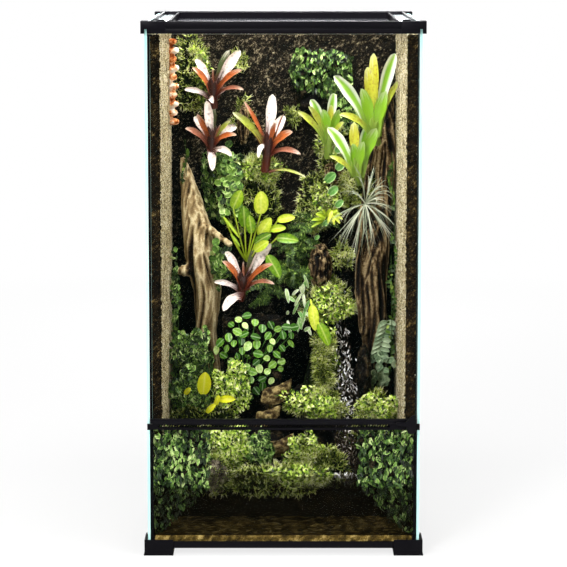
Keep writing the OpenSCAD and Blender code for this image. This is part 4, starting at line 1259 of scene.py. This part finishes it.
LIME_PLANTS = [
    ((160, 102, 682), [("white", (4, 67), (37, 132), 18), ("spot", (2, 60), (-2, 133), 15),
                       ("spot", (-5, 50), (-12, 109), 18), ("white", (-9, 21), (-71, 93), 18),
                       ("green", (-4, 4), (-24, 72), 18), ("green", (3, 0), (20, 68), 18),
                       ("yellow", (15, 60), (44, 85), 8), ("yellow", (-8, 7), (-62, 27), 10)],
     (6, 16, -28)),
    ((129, 94, 612), [("white", (2, 35), (22, 79), 14), ("spot", (-2, 40), (-5, 82), 15),
                      ("white", (-7, 18), (-51, 73), 17), ("green", (1, 0), (12, 51), 15),
                      ("green", (-1, 4), (-8, 46), 14), ("yellow", (-7, 0), (-48, 24), 8),
                      ("green", (6, 20), (34, 74), 18)], (8, 18, -28)),
    ((81, 122, 668), [("white", (-2, 41), (9, 75), 14), ("white", (-9, 30), (-33, 64), 14),
                      ("spot", (-2, 30), (4, 55), 9), ("yellow", (-7, 20), (-37, 54), 9),
                      ("green", (-2, 2), (-12, 48), 15), ("yellow", (-12, 7), (-56, 44), 9),
                      ("green", (2, 8), (17, 49), 12), ("yellow", (5, 12), (26, 26), 7)],
     (-2, 12, -40)),
]
for name, node, slot, material, plants, wide in (
        ("red_bromeliad_leaves", "red_bromeliads", "pink_leaf", RED_LEAF, RED_PLANTS, 1.12),
        ("lime_bromeliad_leaves", "yellow_bromeliads", "yellow_leaf", LIME_LEAF, LIME_PLANTS,
         1.25)):
    growth = Growth()
    for crown, leaves, stem in plants:
        rosette(growth, crown, leaves, stem, wide)
    settle(growth.build(name, material, HABITAT), "tank", slot, node)

# %% [markdown]
# ## Broad-leaved plant and yellow leaves
# The plant in the middle has upright waxy leaves on stems from one root. Its leaves are few and
# each shows, so they are placed one by one, as straps with an oval outline.

# %% Single broad leaves
def broad_leaf(growth, foot, tip, width, shade, root=None, face=(0.15, -1, 0.3)):
    """An oval leaf between two points in mm, and its stem from a root if one is given"""
    foot, tip = np.array(foot, float), np.array(tip, float)
    bend(growth, STRAP, foot, (foot + tip) / 2 + [0, -4, 3], tip, width, 0.9, shade,
         face=face, profile=oval_width, hollow=0.14)
    if root is not None:
        root = np.array(root, float)
        bend(growth, STALK, root, (root + foot) / 2 + [0, -6, -6], foot, 2.6, 2.6, 0.75, hollow=0)


BROAD_LEAVES = [
    ((-40, 52, 538), (-39, 44, 578), 26, 0.85), ((-68, 60, 514), (-70, 54, 550), 23, 0.25),
    ((-88, 64, 546), (-74, 58, 578), 22, 0.5), ((-56, 50, 504), (-60, 42, 536), 18, 0.4),
    ((-42, 44, 500), (-22, 36, 532), 20, 0.8), ((-10, 50, 526), (20, 44, 532), 15, 0.8),
    ((-24, 44, 510), (4, 38, 514), 14, 0.65), ((-12, 42, 496), (26, 36, 492), 18, 0.35),
    ((-50, 40, 486), (-22, 34, 504), 18, 0.2), ((-50, 34, 474), (-26, 26, 492), 16, 0.75),
    ((-28, 46, 464), (-6, 40, 426), 22, 0.3), ((-104, 56, 530), (-78, 60, 494), 6, 0.6),
    ((-92, 56, 500), (-76, 58, 478), 5, 0.5),
]
LOW_LEAVES = [((50, 60, 374), (56, 54, 330), 19, 0.85), ((63, 54, 342), (80, 48, 304), 21, 0.4)]
growth = Growth()
for root, leaves in (((-66, 104, 446), BROAD_LEAVES), ((48, 90, 380), LOW_LEAVES)):
    for foot, tip, width, shade in leaves:
        broad_leaf(growth, foot, tip, width, shade, root=root)
# A sprig of eleven narrow leaves fans out on the wall, clockwise from the left round to below.
for k in range(11):
    foot = np.array([72 + 1.5 * k, 128 - k, 516 + 2.0 * k])
    turn = math.radians(200 - 31 * k)
    tip = foot + np.array([24 * math.cos(turn), -10, 20 * math.sin(turn) - 4])
    broad_leaf(growth, foot, tip, 6 + k % 3, 0.6 + 0.03 * k, face=(0.1, -1, 0.6))
settle(growth.build("broad_leaves", BROAD, HABITAT), "tank", "light_leaf", "broadleaf_plant")

YELLOW_LEAVES = [
    ((-140, -8, 228), (-136, -14, 268), 24), ((-112, -8, 218), (-84, -14, 220), 13),
    ((-134, -12, 196), (-118, -16, 212), 10), ((-118, -14, 210), (-112, -18, 228), 9),
    ((-172, 0, 226), (-162, -4, 238), 9),
]
growth = Growth()
for foot, tip, width in YELLOW_LEAVES:
    broad_leaf(growth, foot, tip, width, 0.6)
settle(growth.build("yellow_leaves", YELLOW, HABITAT), "tank", "light_leaf")

# %% [markdown]
# ## Climbers, grey fronds and vines
# Small plants fill the places between the large ones. A cream-edged climber runs down beside
# the lime bromeliads, grey fronds lean on the right wall, and vines hang along both sides. They
# are few, so short loops place their leaves, and a chain that sways by a sine is a vine.

# %% Variegated climber, grey fronds and vines
rng = np.random.default_rng(41)
growth = Growth()
CHAIN = [
    ((100, 110, 647), 19), ((101, 104, 616), 18), ((83, 106, 595), 20), ((88, 102, 572), 18),
    ((99, 100, 549), 15), ((76, 120, 512), 11), ((60, 120, 486), 9),
]
for at, size in CHAIN:
    broad_leaf(growth, np.array(at) - [0.4 * size, 0, 0.35 * size],
               np.array(at) + [0.45 * size, -3, 0.4 * size], 0.85 * size, rng.uniform(0.2, 0.4))
# Small leaves at the foot of the ferns point up and down in turn.
for k in range(22):
    at = np.array([rng.uniform(0, 46), 96, rng.uniform(318, 400)])
    lean = np.array([rng.uniform(-12, 14), -5, rng.uniform(6, 26) * (1 if k % 2 else -1)])
    broad_leaf(growth, at, at + lean, rng.uniform(5, 8), rng.uniform(0.3, 0.9))
settle(growth.build("variegated_leaves", VARIEGATED, HABITAT), "tank", "light_leaf")

growth = Growth()
places, outward = clump((170, 84, 258), (26, 14, 32), 46, rng)
scatter(growth, ROUND_LEAF, places, outward, rng, (11, 17), face=0.8, shades=(2, 2))
# A frond of nine pairs hangs down over the round leaves.
for k in range(9):
    foot = np.array([184 - 2 * k, 88, 338 - 8.0 * k])
    for side in (-1, 1):
        bend(growth, STRAP, foot, foot + [8 * side, -4, 4], foot + [16 * side, -6, -6 + 2 * side],
             9, 0.8, rng.uniform(0.3, 0.8), profile=oval_width)
settle(growth.build("grey_fronds", GREY_LEAF, HABITAT), "tank", "light_leaf")

growth = Growth()
LEAVES_ON_A_VINE = 22
for x, y, top, bottom in ((194, 60, 500, 350), (190, 80, 440, 250), (-190, 120, 420, 300),
                          (192, 120, 620, 540), (-176, 150, 640, 560)):
    steps = np.linspace(top, bottom, LEAVES_ON_A_VINE)
    places = np.stack([x + 5 * np.sin(steps / 14), y + 3 * np.cos(steps / 9), steps], 1) * MM
    scatter(growth, LEAF, places, np.tile([0, -1.0, 0], (LEAVES_ON_A_VINE, 1)), rng, (6, 12),
            width=0.6, shades=(2, 2))
    bend(growth, STALK, (x, y, top + 20), (x + 4, y, (top + bottom) / 2), (x, y, bottom), 1.2, 1.2,
         0.3, hollow=0)
settle(growth.build("hanging_vines", FERN, HABITAT), "tank", "dark_leaf")

# %% [markdown]
# ## Air plant
# It has no roots in soil: a tuft of a hundred thin silver leaves springs from one crown. Fifteen
# directions read from the photograph give the tuft its outline, and seven leaves about each of
# them, long and short, fill it.

# %% Air plant
AIR_CROWN = np.array([144, 70, 553.0])
AIR_TIPS = [(-35, 28), (-8, 56), (16, 61), (37, 45), (47, 30), (50, 11), (52, -12), (53, -43),
            (45, -69), (15, -74), (-1, -87), (-24, -95), (-45, -74), (-63, -35), (-30, -61)]
rng = np.random.default_rng(31)
growth = Growth()
for x, z in AIR_TIPS:
    for _ in range(7):
        long = rng.uniform(0.65, 1.12)
        sway = rng.normal(0, 9, 3)
        tip = AIR_CROWN + [x * long, rng.uniform(-40, 24), z * long - 6] + sway
        out = AIR_CROWN + [0.7 * x * long, rng.uniform(-34, 8), 0.7 * z * long + 16]
        bend(growth, STRAP_THIN, AIR_CROWN, out, tip, rng.uniform(1.1, 1.9), 0.8,
             rng.uniform(0.1, 1.0), profile=taper, hollow=0.1)
# Six short roots hold it on the wood behind.
for k in range(6):
    bend(growth, STALK, AIR_CROWN + [4, 6, 2], AIR_CROWN + [12, 26, 2 + k],
         AIR_CROWN + [20, 50, -14 + 5 * k], 3, 2, 0.3, hollow=0.0)
settle(growth.build("air_plant_leaves", SILVER, HABITAT), "tank", "silver_leaf", "air_plant")

# %% [markdown]
# ## Ferns
# A frond is a bent stalk with pairs of leaflets that shorten towards its tip. An array modifier
# along a curve could repeat the leaflets, but copies can also vary a little from pair to pair.

# %% Fern fronds
def frond(growth, foot, bow, tip, leaflet, pairs, rng):
    """A stalk with pairs of leaflets that shorten towards the tip; lengths in mm"""
    foot, bow, tip = (np.array(p, float) for p in (foot, bow, tip))
    bend(growth, STALK, foot, bow, tip, 1.2, 1.0, 0.35, hollow=0.0)
    t = np.repeat(np.linspace(0.08, 0.99, pairs), 2)[:, None]
    line = (1 - t) ** 2 * foot + 2 * t * (1 - t) * bow + t ** 2 * tip
    ahead = unit(2 * (1 - t) * (bow - foot) + 2 * t * (tip - bow))
    sides = np.tile([[1.0], [-1.0]], (pairs, 1))
    across = unit(np.cross(ahead, np.array([0, -1, 0.5]) + rng.normal(0, 0.15, 3))) * sides
    long = leaflet * (1 - 0.75 * t) * rng.uniform(0.8, 1.2, t.shape) * MM
    size = np.concatenate([long, long * 0.26, long * 0.3], 1)
    out = np.cross(ahead, across) * sides
    lean = across + 0.55 * ahead + rng.normal(0, 0.12, t.shape)
    growth.copies(LEAF, line * MM, axes_for(lean, out, size), rng.beta(2, 2, len(t)))


rng = np.random.default_rng(33)
growth = Growth()
FERN_RUNS = [((-38, 140, 388), (66, 146, 516), 40, (34, 56)),
             ((-30, 128, 372), (40, 140, 410), 16, (30, 46))]
for first, last, count, length in FERN_RUNS:
    first, last = np.array(first, float), np.array(last, float)
    for k in range(count):
        crown = first + (last - first) * (k + 0.5) / count + rng.normal(0, 5, 3)
        turn = math.radians(rng.uniform(-210, 30))
        long = rng.uniform(*length)
        reach = np.array([math.cos(turn), 0.6 * math.sin(turn), 0]) * long
        rise = rng.uniform(0.0, 0.8)
        tip = crown + reach + UP * long * (rise - 0.55)
        frond(growth, crown, crown + 0.5 * reach + UP * long * rise * 0.7, tip, 10, 17, rng)
# Nine long fronds arch out of one crown in front.
for k in range(9):
    turn = math.radians(-180 + 22 * k)
    crown = np.array([20, 150, 400.0])
    reach = np.array([math.cos(turn), 0.8 * math.sin(turn), 0]) * 70
    frond(growth, crown, crown + 0.5 * reach + UP * 52, crown + reach + UP * 6, 14, 26, rng)
settle(growth.build("fern_fronds", FERN, HABITAT), "tank", "dark_leaf", "fern")

# %% [markdown]
# ## Screen
# The lid's screen is plain woven wire. Drawn at its real 0.3 mm it would vanish at this size, so
# the wires are 0.45 mm on a 2.4 mm spacing, as two layers of straight wires that cross. Woven
# wires would need bends that nobody could see.

# %% Screen wires
PITCH = 2.4 * MM
THICK = 0.45 * MM
LAYER_DROP = 0.35 * MM


def wires(axis, low, high, height):
    """Straight square wires along one axis between two corners"""
    other = 1 - axis
    count = int((high[other] - low[other]) / PITCH)
    at = low[other] + (np.arange(count) + 0.5) * (high[other] - low[other]) / count
    places = np.zeros((count, 3))
    places[:, other] = at
    places[:, axis] = low[axis]
    places[:, 2] = height
    axes = np.zeros((count, 3, 3))
    axes[:, 0, axis] = high[axis] - low[axis]
    axes[:, 1, other] = THICK / 2
    axes[:, 2, 2] = THICK
    return places, axes


BAR = strap_bar(1, 1)
low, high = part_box("lid_mesh")
screen = Growth()
for axis, height in ((0, high.z), (1, high.z - LAYER_DROP)):
    places, axes = wires(axis, low, high, height)
    screen.copies(BAR, places, axes, np.full(len(places), 0.5))
settle(screen.build("screen_wires", SHADED_WIRE), "screen_lid", "steel_mesh", "lid_mesh")
